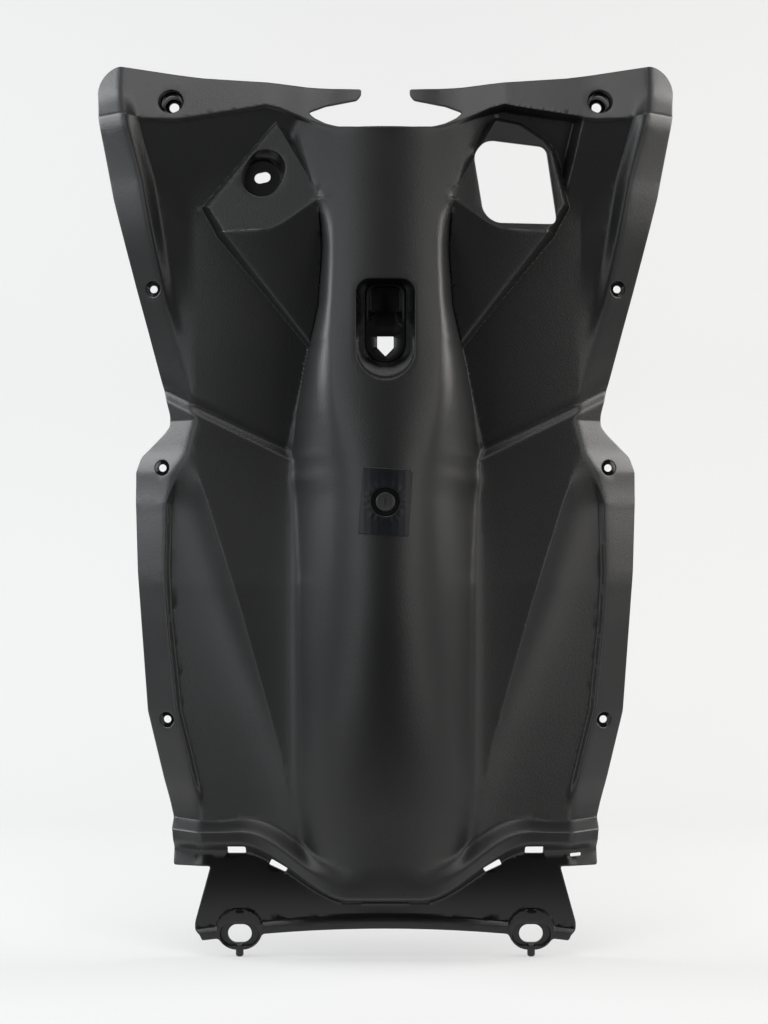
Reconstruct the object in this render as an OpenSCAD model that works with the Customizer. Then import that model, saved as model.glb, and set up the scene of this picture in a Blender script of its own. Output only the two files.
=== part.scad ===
// Leg shield of a motor scooter, the panel in front of the rider's legs.
// One injection moulding with a wall of even thickness, a stuck-on film and a push-in plug.
// X runs across, Z runs up and the rider's side faces -Y.
// The origin is midway between the two floor bolts, on the seats of their heads.
// Stand-offs are measured towards the rider from a plane behind the panel.

/* [Outline] */
// Half width at the upper corners
corner_half_w = 206; // [190:1:225]
// Height of the upper corners
corner_z = 619; // [605:1:635]
// Radius of the upper corners
corner_r = 17; // [8:1:26]
// Height of the top edge beside the steering notch
top_mid_z = 598; // [592:1:604]
// Half width at the waist
waist_half_w = 156; // [146:1:166]
// Height of the waist
waist_z = 367; // [360:1:374]
// Half width of the skirt below the waist
skirt_half_w = 183; // [172:1:195]
// Half width at the bottom lip
foot_half_w = 152; // [140:1:158]
// Fall of the side flange for each millimetre outwards
flange_fall = 0.85; // [0.5:0.05:1.1]

/* [Wall] */
// Thickness of the moulded wall
wall = 2.5; // [2:0.1:3.5]

/* [Steering notch] */
// Half width of the gap between the horn tips
notch_half_gap = 17; // [14:1:22]
// Half width of the notch under the horns
notch_half_w = 54; // [46:1:60]
// Height of the saddle edge
saddle_z = 569; // [566:0.5:572]
// Height of a horn at its tip
horn_h = 9; // [5:0.5:11]

/* [Centre tunnel] */
// Stand-off of the tunnel crown at mid height
crown_d = 95; // [86:1:102]
// Fall of the crown from its middle to its edges
crown_fall = 9; // [6:0.5:12]
// Half width of the crown at its narrowest
crown_half_w = 29; // [24:1:34]
// Half width of the tunnel at its foot
tunnel_half_w = 62; // [56:1:66]

/* [Panels] */
// Height where the ledge meets the tunnel
ledge_mid_z = 341; // [332:1:350]
// Height of the ledge at the side
ledge_side_z = 382; // [376:1:390]
// Step of the ledge towards the rider
ledge_step = 5; // [3:0.5:8]
// Stand-off of the lower panel
lower_d = 45; // [40:1:50]
// Drop outside the slanted crease of the lower panel
crease_drop = 11; // [5:0.5:14]
// Depth of the channel inside the lower side flange
channel_depth = 4; // [2:0.5:6]
// Depth of the knee panel inside the upper side flange
knee_depth = 8; // [3:0.5:10]
// Stand-off of the band along the top
band_d = 67; // [62:1:72]

/* [Pods] */
// Half distance of the pod tips
pod_tip_u = 57; // [54:1:62]
// Height of the pod tips
pod_tip_z = 405; // [400:1:412]
// Stand-off of the pod face beside the tunnel
pod_d = 71; // [67:1:74]
// Step from the pod face to the faces below it
pod_step = 1.6; // [0.5:0.1:3]
// Depth of the pit beside the right pod
pit_depth = 12; // [4:1:14]

/* [Bottom lip] */
// Height of the lip edge at the middle
lip_mid_z = 30; // [26:1:34]
// Height of the lip edge at the sides
lip_side_z = 67; // [63:1:72]
// Stand-off of the lip at the middle
lip_mid_d = 67; // [63:1:72]
// Stand-off of the lip at the sides
lip_side_d = 51; // [48:1:56]
// Stand-off of the lower flange
apron_d = 42; // [39:1:45]
// Half width of the lower flange at its foot
apron_half_w = 136; // [128:1:142]
// Height of the rib along the lower flange
rib_h = 6; // [4:0.5:8]
// Stand-out of the rib along the lower flange
rib_out = 3; // [2:0.5:5]

/* [Lip slots] */
// Half distance of the outer slots under the lip
outer_slot_u = 106; // [102:1:110]
// Half distance of the inner slots under the lip
inner_slot_u = 76; // [72:1:80]
// Width of a slot under the lip
lip_slot_w = 13; // [10:0.5:15]
// Height of a slot under the lip
lip_slot_h = 5.5; // [4:0.5:6]
// Turn of the inner slots along the slanting lip
inner_slot_turn = 25; // [15:1:32]
// Half distance of the clip recesses
clip_u = 24; // [20:1:30]
// Width of a clip recess
clip_w = 15; // [12:0.5:17]
// Height of a clip recess
clip_h = 3.5; // [2.5:0.5:4.5]
// Distance of the slot in the right tab from the middle
tab_slot_u = 136; // [133:1:140]
// Width of the slot in the right tab
tab_slot_w = 8; // [6:0.5:10]
// Height of the slot in the right tab
tab_slot_h = 2.5; // [2:0.5:3.5]

/* [Screw cups] */
// Distance of the top screws from the corners of the outline
top_screw_in = 54.5; // [50:0.5:58]
// Height of the top screws
top_screw_z = 591; // [588:1:594]
// Rim radius of the top cups
top_cup_r = 9; // [7:0.5:10]
// Depth of the top cups
top_cup_depth = 22; // [14:1:26]
// Hole radius of the top screws
top_hole_r = 3.5; // [2.5:0.1:4]
// Distance of the upper side screws from the edge
upper_screw_in = 13; // [10:0.5:16]
// Height of the upper side screws
upper_screw_z = 461; // [455:1:468]
// Distance of the middle side screws from the edge
middle_screw_in = 20; // [16:0.5:24]
// Height of the middle side screws
middle_screw_z = 333; // [328:1:336]
// Distance of the lower side screws from the edge
lower_screw_in = 14; // [10:0.5:17]
// Height of the lower side screws
lower_screw_z = 151; // [145:1:157]
// Rim radius of the side cups
side_cup_r = 5.8; // [5:0.1:6.5]
// Depth of the side cups below the surface at their centre
side_cup_depth = 4; // [3:0.5:6]
// Hole radius of the side screws
side_hole_r = 2.7; // [2:0.1:3]

/* [Floor bolt slots] */
// Half distance of the floor bolt slots
bolt_u = 104; // [100:1:108]
// Half height of a floor bolt slot, its end radius
bolt_slot_r = 6.5; // [5:0.1:7]
// Length of a floor bolt slot between its end centres
bolt_slot_l = 4; // [2:0.5:7]
// Width of the raised pad round a floor bolt
bolt_pad_w = 33; // [30:0.5:36]
// Height of the raised pad above the bolt
bolt_pad_top = 18; // [14:0.5:22]
// Height of the raised pad below the bolt
bolt_pad_foot = 11; // [10:0.5:13]
// Stand-out of the raised pad
bolt_pad_out = 3; // [2:0.5:4]
// Width of the sunk seat in the pad
bolt_seat_w = 28; // [24:0.5:29]
// Height of the sunk seat in the pad
bolt_seat_h = 17; // [15:0.5:19]
// Depth of the sunk seat below the pad
bolt_seat_depth = 4; // [3:0.5:5]
// Radius of the locating peg under a pad
peg_r = 2.8; // [2:0.1:4]
// Length of the locating peg
peg_l = 6; // [4:0.5:8]

/* [Hook pocket] */
// Width of the pocket at its rim
pocket_w = 41; // [36:1:43]
// Height of the pocket at its rim
pocket_h = 70; // [64:1:74]
// Height of the pocket's centre
pocket_z = 427; // [423:1:431]
// Depth of the pocket's floor below the crown
pocket_depth = 25; // [20:1:30]
// Depth of the pocket's upper end below the crown
pocket_top_depth = 33; // [28:1:38]
// Radius of the pocket's upper corners
pocket_r = 10; // [6:1:14]
// Width of the pocket's floor
pocket_floor_w = 28; // [24:1:32]
// Rise of the dished lower lip from the rim to the floor
pocket_lip = 14; // [10:1:18]
// Width of the five-sided hole in the pocket floor
hook_hole_w = 11.5; // [9:0.5:13]
// Height of the five-sided hole
hook_hole_h = 14; // [11:0.5:16]

/* [Switch opening and lock cup] */
// Width of the switch opening
switch_w = 53; // [46:1:55]
// Height of the switch opening
switch_h = 59; // [52:1:61]
// Distance of the switch opening's lower inner corner from the middle
switch_u = 67.5; // [66:0.5:70]
// Height of the switch opening's lower edge
switch_z = 504; // [503:0.5:508]
// Radius of the switch opening's larger corners
switch_r = 13; // [8:1:16]
// Floor radius of the lock cup
lock_r = 13.4; // [12:0.1:14]
// Distance of the lock cup's floor from the middle
lock_u = 87; // [84:0.5:90]
// Height of the lock cup's floor centre
lock_z = 536.5; // [533:0.5:540]
// Depth of the lock cup
lock_depth = 9; // [7:0.5:11]
// Shift of the lock cup's rim towards the middle
lock_lean_u = 3.5; // [0:0.5:5]
// Shift of the lock cup's rim upwards
lock_lean_z = 6; // [0:0.5:7]
// Length of the slot in the lock cup between its end centres
lock_slot_l = 4; // [2:0.5:6]
// End radius of the slot in the lock cup
lock_slot_r = 3.7; // [2.5:0.1:4.5]

/* [Film and plug] */
// Width of the stuck-on film
film_w = 35; // [30:1:37]
// Height of the stuck-on film
film_h = 46; // [40:1:52]
// Thickness of the stuck-on film
film_t = 0.4; // [0.3:0.1:0.8]
// Turn of the stuck-on film
film_turn = 3.5; // [0:0.5:6]
// Height of the plug's centre
plug_z = 308; // [304:1:312]
// Radius of the plug's head
plug_head_r = 6.7; // [6:0.1:7.5]
// Thickness of the plug's head
plug_head_t = 2; // [1.5:0.1:2.5]
// Radius of the plug's shank
plug_shank_r = 3.8; // [3:0.1:4.5]
// Length of the shank behind the wall
plug_shank_l = 9; // [6:0.5:12]
// Radius of the round seat in the crown
seat_r = 10; // [9:0.1:10.5]
// Clearance between the plug, the film and the moulding
fit_gap = 0.2; // [0.1:0.05:0.4]

/* [Hidden] */

plastic = [0.10, 0.10, 0.11];
film_black = [0.04, 0.05, 0.07];
plug_black = [0.16, 0.16, 0.17];

// Extra length that lets a cutter pass clean through a face
over = 1;
// Depth of the cutters and of the stock that they meet
reach = 60;
// Smoothness of the round cutters
round_fn = 48;

// Stand-off of the origin, the seats of the bolt heads
origin_d = apron_d + bolt_pad_out - bolt_seat_depth;

// Heights that hang on the sizes above
skirt_z = waist_z - 59;
seam_drop = 9;
crest_rise = 6;
flare_h = 16;
band_step_h = 3;
ledge_top = 1;
ledge_foot = 7;
face_edge_h = 1;
// Changes of the outline from the sizes that its guide lists were drawn at
waist_in = waist_half_w - 156;
skirt_in = skirt_half_w - 183;
foot_in = foot_half_w - 152;
corner_in = corner_half_w - 206;
waist_up = waist_z - 367;
foot_wide = tunnel_half_w - 62;
crown_wide = crown_half_w - 29;

// Half width of the outline at heights from the bottom up
OUTLINE = [
    [-40, foot_half_w], [lip_side_z - 5, foot_half_w], [80, foot_half_w + 2],
    [156, 173 + skirt_in], [258, 181 + skirt_in], [skirt_z, skirt_half_w],
    [330 + waist_up, skirt_half_w], [341 + waist_up, 179 + skirt_in],
    [357 + waist_up, 161.5 + waist_in], [363 + waist_up, waist_half_w + 0.5],
    [371 + waist_up, waist_half_w + 0.5], [415 + waist_up, 168 + waist_in],
    [461, 179.5 + waist_in / 2], [525, 194.5 + corner_in / 2], [577, 203 + corner_in],
    [600, corner_half_w], [660, corner_half_w]
];
// Where the side flange starts to lean back
CREST = [
    [-40, 130 + foot_in], [48, 130 + foot_in], [98, 136 + foot_in],
    [127, 143 + skirt_in / 2 + foot_in / 2], [158, 151 + skirt_in], [222, 158 + skirt_in],
    [258, 160 + skirt_in], [307, 159 + skirt_in], [330 + waist_up, 152 + skirt_in / 2 + waist_in / 2],
    [345 + waist_up, 143 + waist_in], [waist_z, 137 + waist_in], [390 + waist_up, 142 + waist_in],
    [415 + waist_up, 149 + waist_in], [451, 159 + waist_in / 2], [493, 166 + waist_in / 4],
    [536, 173 + corner_in / 4], [571, 182 + corner_in / 2], [600, 188 + corner_in], [660, 190 + corner_in]
];
// Slanted crease of the lower panel
SLANT = [
    [60, 64], [97, 69], [134, 76], [170, 86], [240, 106 + skirt_in / 2],
    [309, 128 + skirt_in * 0.8], [326, 134 + skirt_in * 0.8], [345, 140 + skirt_in * 0.8]
];
// Foot of the tunnel, then the inner edge of the pod
INNER = [
    [-40, 50], [20, 52 + foot_wide], [60, 57 + foot_wide], [86, 61 + foot_wide],
    [200, 62 + foot_wide], [260, 62 + foot_wide], [307, 64 + foot_wide], [341, 67 + foot_wide],
    [372, 64], [407, 57.5], [447, 48], [486, 45], [526, 48], [577, 78], [600, 84], [660, 84]
];
// Half width of the tunnel's crown
CROWN_EDGE = [
    [-40, 44], [36, 44], [100, 40], [171, 34 + crown_wide], [240, crown_half_w],
    [325, crown_half_w + 1], [355, 36 + crown_wide], [378, 41], [400, 43], [430, 42], [447, 40],
    [486, 38], [569, 38], [660, 38]
];
// Stand-off of the tunnel's crown against the height
CROWN = [
    [20, crown_d - 29], [60, crown_d - 29], [100, crown_d - 21], [150, crown_d - 12],
    [240, crown_d - 3], [341, crown_d], [430, crown_d - 2], [500, crown_d - 7],
    [569, crown_d - 14], [620, crown_d - 19]
];
// Stand-off of the knee panel against the height
KNEE = [
    [320, 26], [341, 29], [382, 35], [420, 40], [460, 44.5], [500, 49], [525, 52], [562, 56], [620, 60]
];
// Stand-off of the lower panel against the height
LOWER = [
    [20, lower_d + 2], [60, lower_d + 1], [90, lower_d], [160, lower_d], [250, lower_d - 1],
    [345, lower_d - 9]
];
// Height of the band's lower border against the distance from the middle
BAND = [
    [0, saddle_z], [38, saddle_z + 1.5], [53, 576], [74, 585], [84, 587.5], [92, 586], [120, 582],
    [148, 578], [170, 579], [190, 584], [230, 592]
];
// Stand-off of the band against the distance from the middle
RIDGE = [
    [0, band_d], [84, band_d - 1], [140, band_d - 4], [170, band_d - 4], [190, band_d - 6],
    [210, band_d - 10]
];
// Height of the top edge against the distance from the middle
TOP = [
    [0, top_mid_z], [20, top_mid_z], [129, top_mid_z + 11], [190, corner_z], [230, corner_z]
];
// Height of the lower edge of the pod's face against the distance from the middle
FACE_EDGE = [[40, 526], [45, 522.5], [72, 504.5], [80, 500.7], [90, 499.3], [116, 498.5], [140, 498]];

// Slopes of the larger faces, in millimetres of stand-off for each millimetre
knee_bow_r = 500;
band_lean = 0.5;
pod_wall = 3;
lower_lean = 0.05;
crease_lean = 0.1;
// Depth of the groove between the pod and the tunnel, and of the rounded ridge above the pod
groove_depth = 4;
shoulder_h = 3;

// Steps in from the pocket's rim to its floor, and in to its deeper upper end
floor_corner_in = 3;
floor_head_in = 1;
end_side_in = 2;
end_head_in = 5;
// Height above the pocket's centre where its upper end starts, and the height of its ramp
end_foot_up = 3;
end_ramp_h = 10;
// Drop of the five-sided hole below the pocket's centre, and the height of its straight sides
hook_hole_drop = 10;
hook_hole_side = 8;
// Steps in from the switch opening's width and height to its four corners
switch_low_in = 1.5;
switch_inner_out = 5;
switch_inner_drop = 1;
switch_outer_in = 6.5;
switch_outer_drop = 4;
// Rise of the slot in the lock cup above the floor's centre, and its tilt
lock_slot_up = 1;
lock_slot_tilt = 12;
// Height of the notch's corners above the saddle
notch_root_up = 12.5;

// Corners of the pod, as distance from the middle, height and stand-off
pod_apex = [81, 571, pod_d - 8];
pod_left = [128.5, 515, pod_d - 13];
pod_right = [45, 522.5, pod_d];
pod_tip = [pod_tip_u, pod_tip_z, 44];
pod_low = [116, 499];
pod_mid = [79.5, 500.5];
// Borders of the left pod and of the right one, from the apex round to the tip
LEFT_BORDER = [pod_apex, pod_left, pod_low, pod_tip];
RIGHT_BORDER = [[77, 577.5], [95.5, 574.5], [111.5, 564.5], [118.5, 556], pod_left, pod_low, pod_tip];
// Flats under the band, outside the crease beside the pod and inside it
OUTER_FLAT = [[140, 577, 62], [128, 523, 48], [178, 562, 58.5]];
LEFT_FLAT = [[84, 587, 65], [140, 577, 62], [128, 523, 48]];

// Column of the mesh that follows the slanted crease up to the outer corner of a pod
CREASE_COLUMN = [
    [-40, 58], [60, 64], [97, 69], [134, 76], [170, 86], [240, 106 + skirt_in / 2],
    [309, 128 + skirt_in * 0.8], [326, 132 + skirt_in * 0.8], [345, 116 + skirt_in / 2],
    [375, 92 + skirt_in / 4], [pod_tip_z, pod_tip_u + 2], [499, 116], [515, 128.5]
];
// The whole column beside the left pod and beside the right one
LEFT_COLUMN = concat(CREASE_COLUMN, [[571, 81], [588, 88], [660, 96]]);
RIGHT_COLUMN = concat(CREASE_COLUMN, [[556, 118.5], [566, 110], [582, 96], [660, 96]]);

// Smooth step from 0 at a to 1 at b
function ease(a, b, t) = let (s = max(0, min(1, (t - a) / (b - a)))) s * s * (3 - 2 * s);
// The larger of two heights, rounded where they cross over a width r
function soft_max(a, b, r) = max(a, b) + pow(max(0, r - abs(a - b)), 2) / (4 * r);
// Stand-off of the plane through three points
function plane(p, q, r, u, z) =
    let (n = cross(q - p, r - p)) p[2] - (n[0] * (u - p[0]) + n[1] * (z - p[1])) / n[2];
// Distance of a point to the right of the line from p to q, seen with u to the right
function beside(p, q, u, z) =
    let (d = [q[0] - p[0], q[1] - p[1]]) (d[1] * (u - p[0]) - d[0] * (z - p[1])) / norm(d);
// A point of the pod's border with the stand-off of the face and a lift
function on_face(p, lift) = [p[0], p[1], plane(pod_apex, pod_right, pod_left, p[0], p[1]) + lift];

function outline_u(z) = lookup(z, OUTLINE);
function crest_u(z) = lookup(z, CREST);
function lip_z(u) = lip_mid_z + (lip_side_z - lip_mid_z) * ease(25, 105, u);
function seam_z(u) = lip_z(u) - seam_drop;
function crest_z(u) = lip_z(u) + crest_rise;
function lip_d(u) = lip_mid_d + (lip_side_d - lip_mid_d) * ease(25, 105, u);
function foot_z(u) = 4 - 6 * pow(u / 110, 2);
function ledge_z(u) =
    ledge_mid_z + (ledge_side_z - ledge_mid_z) * max(0, min(1.4, (u - 67) / (153 - 67)));
function band_z(u) = lookup(u, BAND);
function top_z(u) = lookup(u, TOP);

// Fall of the knee panel towards the side
function bow(u, z) =
    pow(max(0, min(70, u - 70)), 2) / (2 * knee_bow_r)
        + (0.35 - 0.52 * ease(400, 510, z)) * max(0, u - 140);

// Knee panel above the ledge
function knee(u, z) = lookup(z, KNEE) - bow(u, z) - 2 * ease(12, 0, z - ledge_z(u));

// Lower panel, with the fall outside its slanted crease
function lower(u, z) =
    let (
        below = max(0, min(1, (ledge_z(u) - z) / 110)),
        w = 1 - pow(1 - below, 2),
        edge = knee(u, ledge_z(u)) + ledge_step,
        out = max(0, u - lookup(z, SLANT)),
        depth = 2 + (crease_drop - 2) * ease(90, 270, z),
        drop = depth * (1 - exp(-out / 14)) + crease_lean * out,
        face = lookup(z, LOWER) - lower_lean * (u - 62)
    ) edge * (1 - w) + face * w - drop * ease(345, 300, z);

// Flats under the band, and the pit beside the right pod
function flats(x, z) =
    let (
        u = abs(x),
        in = -beside(OUTER_FLAT[1], OUTER_FLAT[0], u, z),
        flat = x < 0 && in > 0 ? LEFT_FLAT : OUTER_FLAT
    ) soft_max(knee(u, z), plane(flat[0], flat[1], flat[2], u, z), 2)
        - (x < 0 ? 0 : pit_depth * ease(0, 7, in) * ease(508, 560, z));

// Ground that the tunnel and the pods stand on
function ground(x, z) =
    let (u = abs(x), t = ease(ledge_z(u) + ledge_top, ledge_z(u) - ledge_foot, z))
    t == 0 ? flats(x, z) : t == 1 ? lower(u, z) : flats(x, z) * (1 - t) + lower(u, z) * t;

// Tunnel along the middle
function tunnel(x, z) =
    let (
        u = abs(x),
        e = lookup(z, CROWN_EDGE),
        f = max(e + 7, lookup(z, INNER)),
        c = lookup(z, CROWN),
        foot = x < 0 ? -f : f,
        groove = groove_depth * ease(520, 500, z) * ease(410, 430, z),
        rest = soft_max(ground(foot, z), pod(foot, z) - groove + shoulder_h * ease(568, 575, z), 1),
        fall = max(0.5, (c - crown_fall - rest) / (f - e))
    ) c - crown_fall * pow(min(u, e) / e, 2) - fall * max(0, u - e)
        - 2.5 * max(0, u - f - 1) * ease(560, 570, z);

// Distance outside the border of a pod
function outside(border, u, z) =
    max([0, lookup(z, INNER) - u, for (i = [1:len(border) - 1]) -beside(border[i - 1], border[i], u, z)]);

// Pod beside the tunnel, with its face, its two lower faces and its steep wall
function pod(x, z) =
    let (
        u = abs(x),
        face = plane(pod_apex, pod_right, pod_left, u, z),
        mid = on_face(pod_mid, pod_step),
        outer_low = plane(mid, on_face(pod_low, pod_step), pod_tip, u, z),
        inner_low = plane(mid, on_face(pod_right, pod_step), pod_tip, u, z),
        lows = -soft_max(-outer_low, -inner_low, 4),
        e = lookup(u, FACE_EDGE),
        t = ease(e + face_edge_h, e - face_edge_h, z)
    ) face * (1 - t) + lows * t - pod_wall * outside(x < 0 ? LEFT_BORDER : RIGHT_BORDER, u, z);

// Everything inside the side flange and below the band
function field(x, z) =
    soft_max(soft_max(ground(x, z), tunnel(x, z), 2 + 5 * ease(400, 350, z)), pod(x, z), 1);

// Band along the top edge
function band(x, z) =
    let (u = abs(x)) soft_max(lookup(u, RIDGE), tunnel(x, band_z(u)), 3) - band_lean * (z - band_z(u));

// Front without the side flange
function front(x, z) =
    let (
        u = abs(x),
        b = ease(band_z(u) - band_step_h, band_z(u), z),
        body = b == 0 ? field(x, z) : b == 1 ? band(x, z) : field(x, z) * (1 - b) + band(x, z) * b,
        flare = ease(crest_z(u) + flare_h, crest_z(u), z),
        lipped = body * (1 - flare) + lip_d(u) * flare,
        step = ease(lip_z(u), seam_z(u), z),
        rib = rib_out * ease(foot_z(u) + rib_h + 1, foot_z(u) + rib_h, z)
    ) lipped * (1 - step) + (apron_d + rib) * step;

// Stand-off of the front at a place across and a height
function stand(x, z) =
    let (
        u = abs(x),
        c = crest_u(z),
        low = channel_depth * ease(88, 110, z) * ease(330, 300, z),
        high = (2 + (knee_depth - 2) * ease(440, 540, z)) * ease(400, 460, z) * ease(600, 570, z),
        inner = x < 0 ? -min(u, c) : min(u, c),
        ridge = low * ease(c - 5, c, u) + high * ease(c - 10, c - 1, u)
    ) front(inner, z) + ridge * ease(60, 80, z) - flange_fall * max(0, u - c) * ease(30, 75, z);

// Slope of the front across and upwards
function slope_x(x, z) = abs(x) < 0.5 ? 0 : stand(x + 0.5, z) - stand(x - 0.5, z);
function slope_z(x, z) = stand(x, z + 0.5) - stand(x, z - 0.5);

// Distance of each screw from the middle, measured in from the outline
top_screw_u = corner_half_w - top_screw_in;
upper_screw_u = outline_u(upper_screw_z) - upper_screw_in;
middle_screw_u = outline_u(middle_screw_z) - middle_screw_in;
lower_screw_u = outline_u(lower_screw_z) - lower_screw_in;

// Guide columns from the side to the middle, and the cells between them
COLUMN_CELLS = [2, 2, 5, 1, 5, 3, 4];
function guide_u(k, z, side) =
    k == 0 ? outline_u(z) :
    k == 1 ? crest_u(z) :
    k == 2 ? crest_u(z) - 10 :
    k == 3 ? guide_u(4, z, side) + 3 :
    k == 4 ? lookup(z, side < 0 ? LEFT_COLUMN : RIGHT_COLUMN) :
    k == 5 ? lookup(z, INNER) :
    k == 6 ? lookup(z, CROWN_EDGE) : 0;
// Guide rows from the bottom up, and the cells between them
ROW_CELLS = [1, 1, 3, 3, 1, 3, 12, 4, 9, 1, 7, 1, 3];
function guide_z(k, u) =
    k == 0 ? foot_z(u) :
    k == 1 ? foot_z(u) + rib_h :
    k == 2 ? foot_z(u) + rib_h + 1 :
    k == 3 ? seam_z(u) :
    k == 4 ? lip_z(u) :
    k == 5 ? crest_z(u) :
    k == 6 ? crest_z(u) + flare_h :
    k == 7 ? ledge_z(u) - ledge_foot :
    k == 8 ? ledge_z(u) + ledge_top :
    k == 9 ? lookup(u, FACE_EDGE) - face_edge_h :
    k == 10 ? lookup(u, FACE_EDGE) + face_edge_h :
    k == 11 ? band_z(u) - band_step_h :
    k == 12 ? band_z(u) : top_z(u);

// Steps of a guide list, as pairs of guide number and share of the way to the next
function steps(cells) = [
    for (k = [0:len(cells) - 1]) for (i = [0:cells[k] - 1]) [k, i / cells[k]],
    [len(cells), 0]
];
COLUMNS = steps(COLUMN_CELLS);
ROWS = steps(ROW_CELLS);
function column_u(c, z, side) =
    c[1] == 0
        ? guide_u(c[0], z, side)
        : guide_u(c[0], z, side) * (1 - c[1]) + guide_u(c[0] + 1, z, side) * c[1];
function row_z(r, u) =
    r[1] == 0 ? guide_z(r[0], u) : guide_z(r[0], u) * (1 - r[1]) + guide_z(r[0] + 1, u) * r[1];
// Crossing of a row and a column, found by repeated halving of the step between them
function crossing(r, c, u, side, tries) =
    let (z = row_z(r, u), v = (u + column_u(c, z, side)) / 2)
    tries == 0 ? [side * v, row_z(r, v)] : crossing(r, c, v, side, tries - 1);

// Shell of even wall over the rows and columns of both halves
module shell() {
    half = len(COLUMNS);
    across = 2 * half - 1;
    last = len(ROWS) - 1;
    places = [
        for (r = ROWS) [
            for (i = [0:across - 1])
                let (side = i < half ? -1 : 1, c = COLUMNS[i < half ? i : across - 1 - i])
                i == half - 1
                    ? [0, row_z(r, 0)]
                    : crossing(r, c, column_u(c, row_z(r, 100), side), side, 14)
        ]
    ];
    fronts = [for (row = places) [for (p = row) stand(p[0], p[1])]];
    deep = [
        for (row = places) [
            for (p = row)
                wall * min(1.9, sqrt(1 + pow(slope_x(p[0], p[1]), 2) + pow(slope_z(p[0], p[1]), 2)))
        ]
    ];
    points = concat(
        [for (j = [0:last]) for (i = [0:across - 1]) [places[j][i][0], -fronts[j][i], places[j][i][1]]],
        [for (j = [0:last]) for (i = [0:across - 1])
            [places[j][i][0], -fronts[j][i] + deep[j][i], places[j][i][1]]]
    );
    back = across * (last + 1);
    faces = concat(
        [for (j = [0:last - 1]) for (i = [0:across - 2]) each
            let (a = j * across + i, b = a + 1, c = b + across, d = a + across)
            i < half - 1 ? [[a, d, c], [a, c, b]] : [[a, d, b], [b, d, c]]],
        [for (j = [0:last - 1]) for (i = [0:across - 2]) each
            let (a = back + j * across + i, b = a + 1, c = b + across, d = a + across)
            i < half - 1 ? [[a, c, d], [a, b, c]] : [[a, b, d], [b, c, d]]],
        [for (i = [0:across - 2]) each [[i, i + 1, i + 1 + back], [i, i + 1 + back, i + back]]],
        [for (i = [0:across - 2]) each
            let (a = last * across + i) [[a, a + 1 + back, a + 1], [a, a + back, a + 1 + back]]],
        [for (j = [0:last - 1]) each
            let (a = j * across, d = a + across) [[a, d + back, d], [a, a + back, d + back]]],
        [for (j = [0:last - 1]) each
            let (a = (j + 1) * across - 1, d = a + across) [[a, d, d + back], [a, d + back, a + back]]]
    );
    polyhedron(points, faces, convexity = 12);
}

// Turns a flat drawing of X and Z into a block from stand-off low to stand-off high
module block(low, high) {
    translate([0, -low, 0]) rotate([90, 0, 0]) linear_extrude(high - low) children();
}

// Round pin along Y from stand-off low to stand-off high
module pin(x, z, r, low, high) {
    translate([x, -low, z]) rotate([90, 0, 0]) cylinder(r = r, h = high - low, $fn = round_fn);
}

// Half space in front of the surface at a place, sunk by a depth
module ahead(x, z, sink) {
    lean_x = atan(slope_x(x, z));
    lean_z = atan(slope_z(x, z) * cos(lean_x));
    translate([x, -(stand(x, z) - sink), z])
        rotate([0, 0, -lean_x])
            rotate([-lean_z, 0, 0])
                translate([-reach, -2 * reach, -reach]) cube([2 * reach, 2 * reach, 2 * reach]);
}

// Tube behind the surface that carries a screw cup
module cup_tube(x, z, r, depth) {
    d = stand(x, z);
    difference() {
        pin(x, z, r + wall, d - depth - wall, d + r);
        ahead(x, z, wall / 2);
    }
}

// Hollow of a straight screw cup with its hole
module cup_hollow(x, z, r, depth, hole_r) {
    d = stand(x, z);
    pin(x, z, r, d - depth, d + reach);
    pin(x, z, hole_r, d - depth - reach, d + reach);
}

// Hollow of a deep cup that narrows in steps
module deep_hollow(x, z, r, depth, hole_r) {
    d = stand(x, z);
    floor_r = hole_r + 1.5;
    mid_r = (r + floor_r) / 2;
    translate([x, -(d - depth), z])
        rotate([90, 0, 0])
            rotate_extrude($fn = round_fn)
                polygon([
                    [0, 0], [floor_r, 0], [mid_r - 0.5, depth * 0.45], [mid_r + 0.5, depth * 0.5],
                    [r, depth], [r, depth + reach], [0, depth + reach]
                ]);
    pin(x, z, hole_r, d - depth - reach, d);
}

// Notch between the horns, open to the top
module notch() {
    tip_z = top_mid_z - horn_h;
    root_z = saddle_z + notch_root_up;
    side = [
        [notch_half_gap, top_mid_z + over], [notch_half_gap, tip_z + 4], [notch_half_gap + 3, tip_z],
        [notch_half_w - 12, root_z + 4.5], [notch_half_w, root_z], [notch_half_w - 4, root_z - 4],
        [notch_half_w - 12, saddle_z + 4], [notch_half_w - 21, saddle_z + 1],
        [notch_half_w - 35, saddle_z]
    ];
    block(0, 2 * reach)
        polygon([
            for (p = side) p,
            for (i = [1:len(side)]) [-side[len(side) - i][0], side[len(side) - i][1]]
        ]);
}

// Waste outside the rounded upper corner
module corner_waste(side) {
    centre = [side * (corner_half_w - corner_r), corner_z - corner_r];
    block(-reach, 2 * reach)
        difference() {
            translate([side > 0 ? centre[0] : centre[0] - corner_r - over, centre[1]])
                square([corner_r + over, corner_r + over]);
            translate(centre) circle(r = corner_r, $fn = round_fn);
        }
}

// Waste beside the lower flange
module apron_waste(side) {
    tab_z = lip_side_z - 19;
    far = max(foot_half_w, apron_half_w) + 10;
    block(-reach, 2 * reach)
        polygon([
            [side * far, tab_z], [side * (apron_half_w - 11), tab_z], [side * apron_half_w, 8],
            [side * apron_half_w, 3], [side * (apron_half_w - 4), -1], [side * (apron_half_w - 12), -30],
            [side * far, -30]
        ]);
}

// Flat shape with round ends, about the floor bolt
module stadium(w, h) {
    for (s = [-1, 1]) translate([s * (w - h) / 2, 0]) circle(r = h / 2, $fn = round_fn);
    square([w - h, h], center = true);
}

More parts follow.
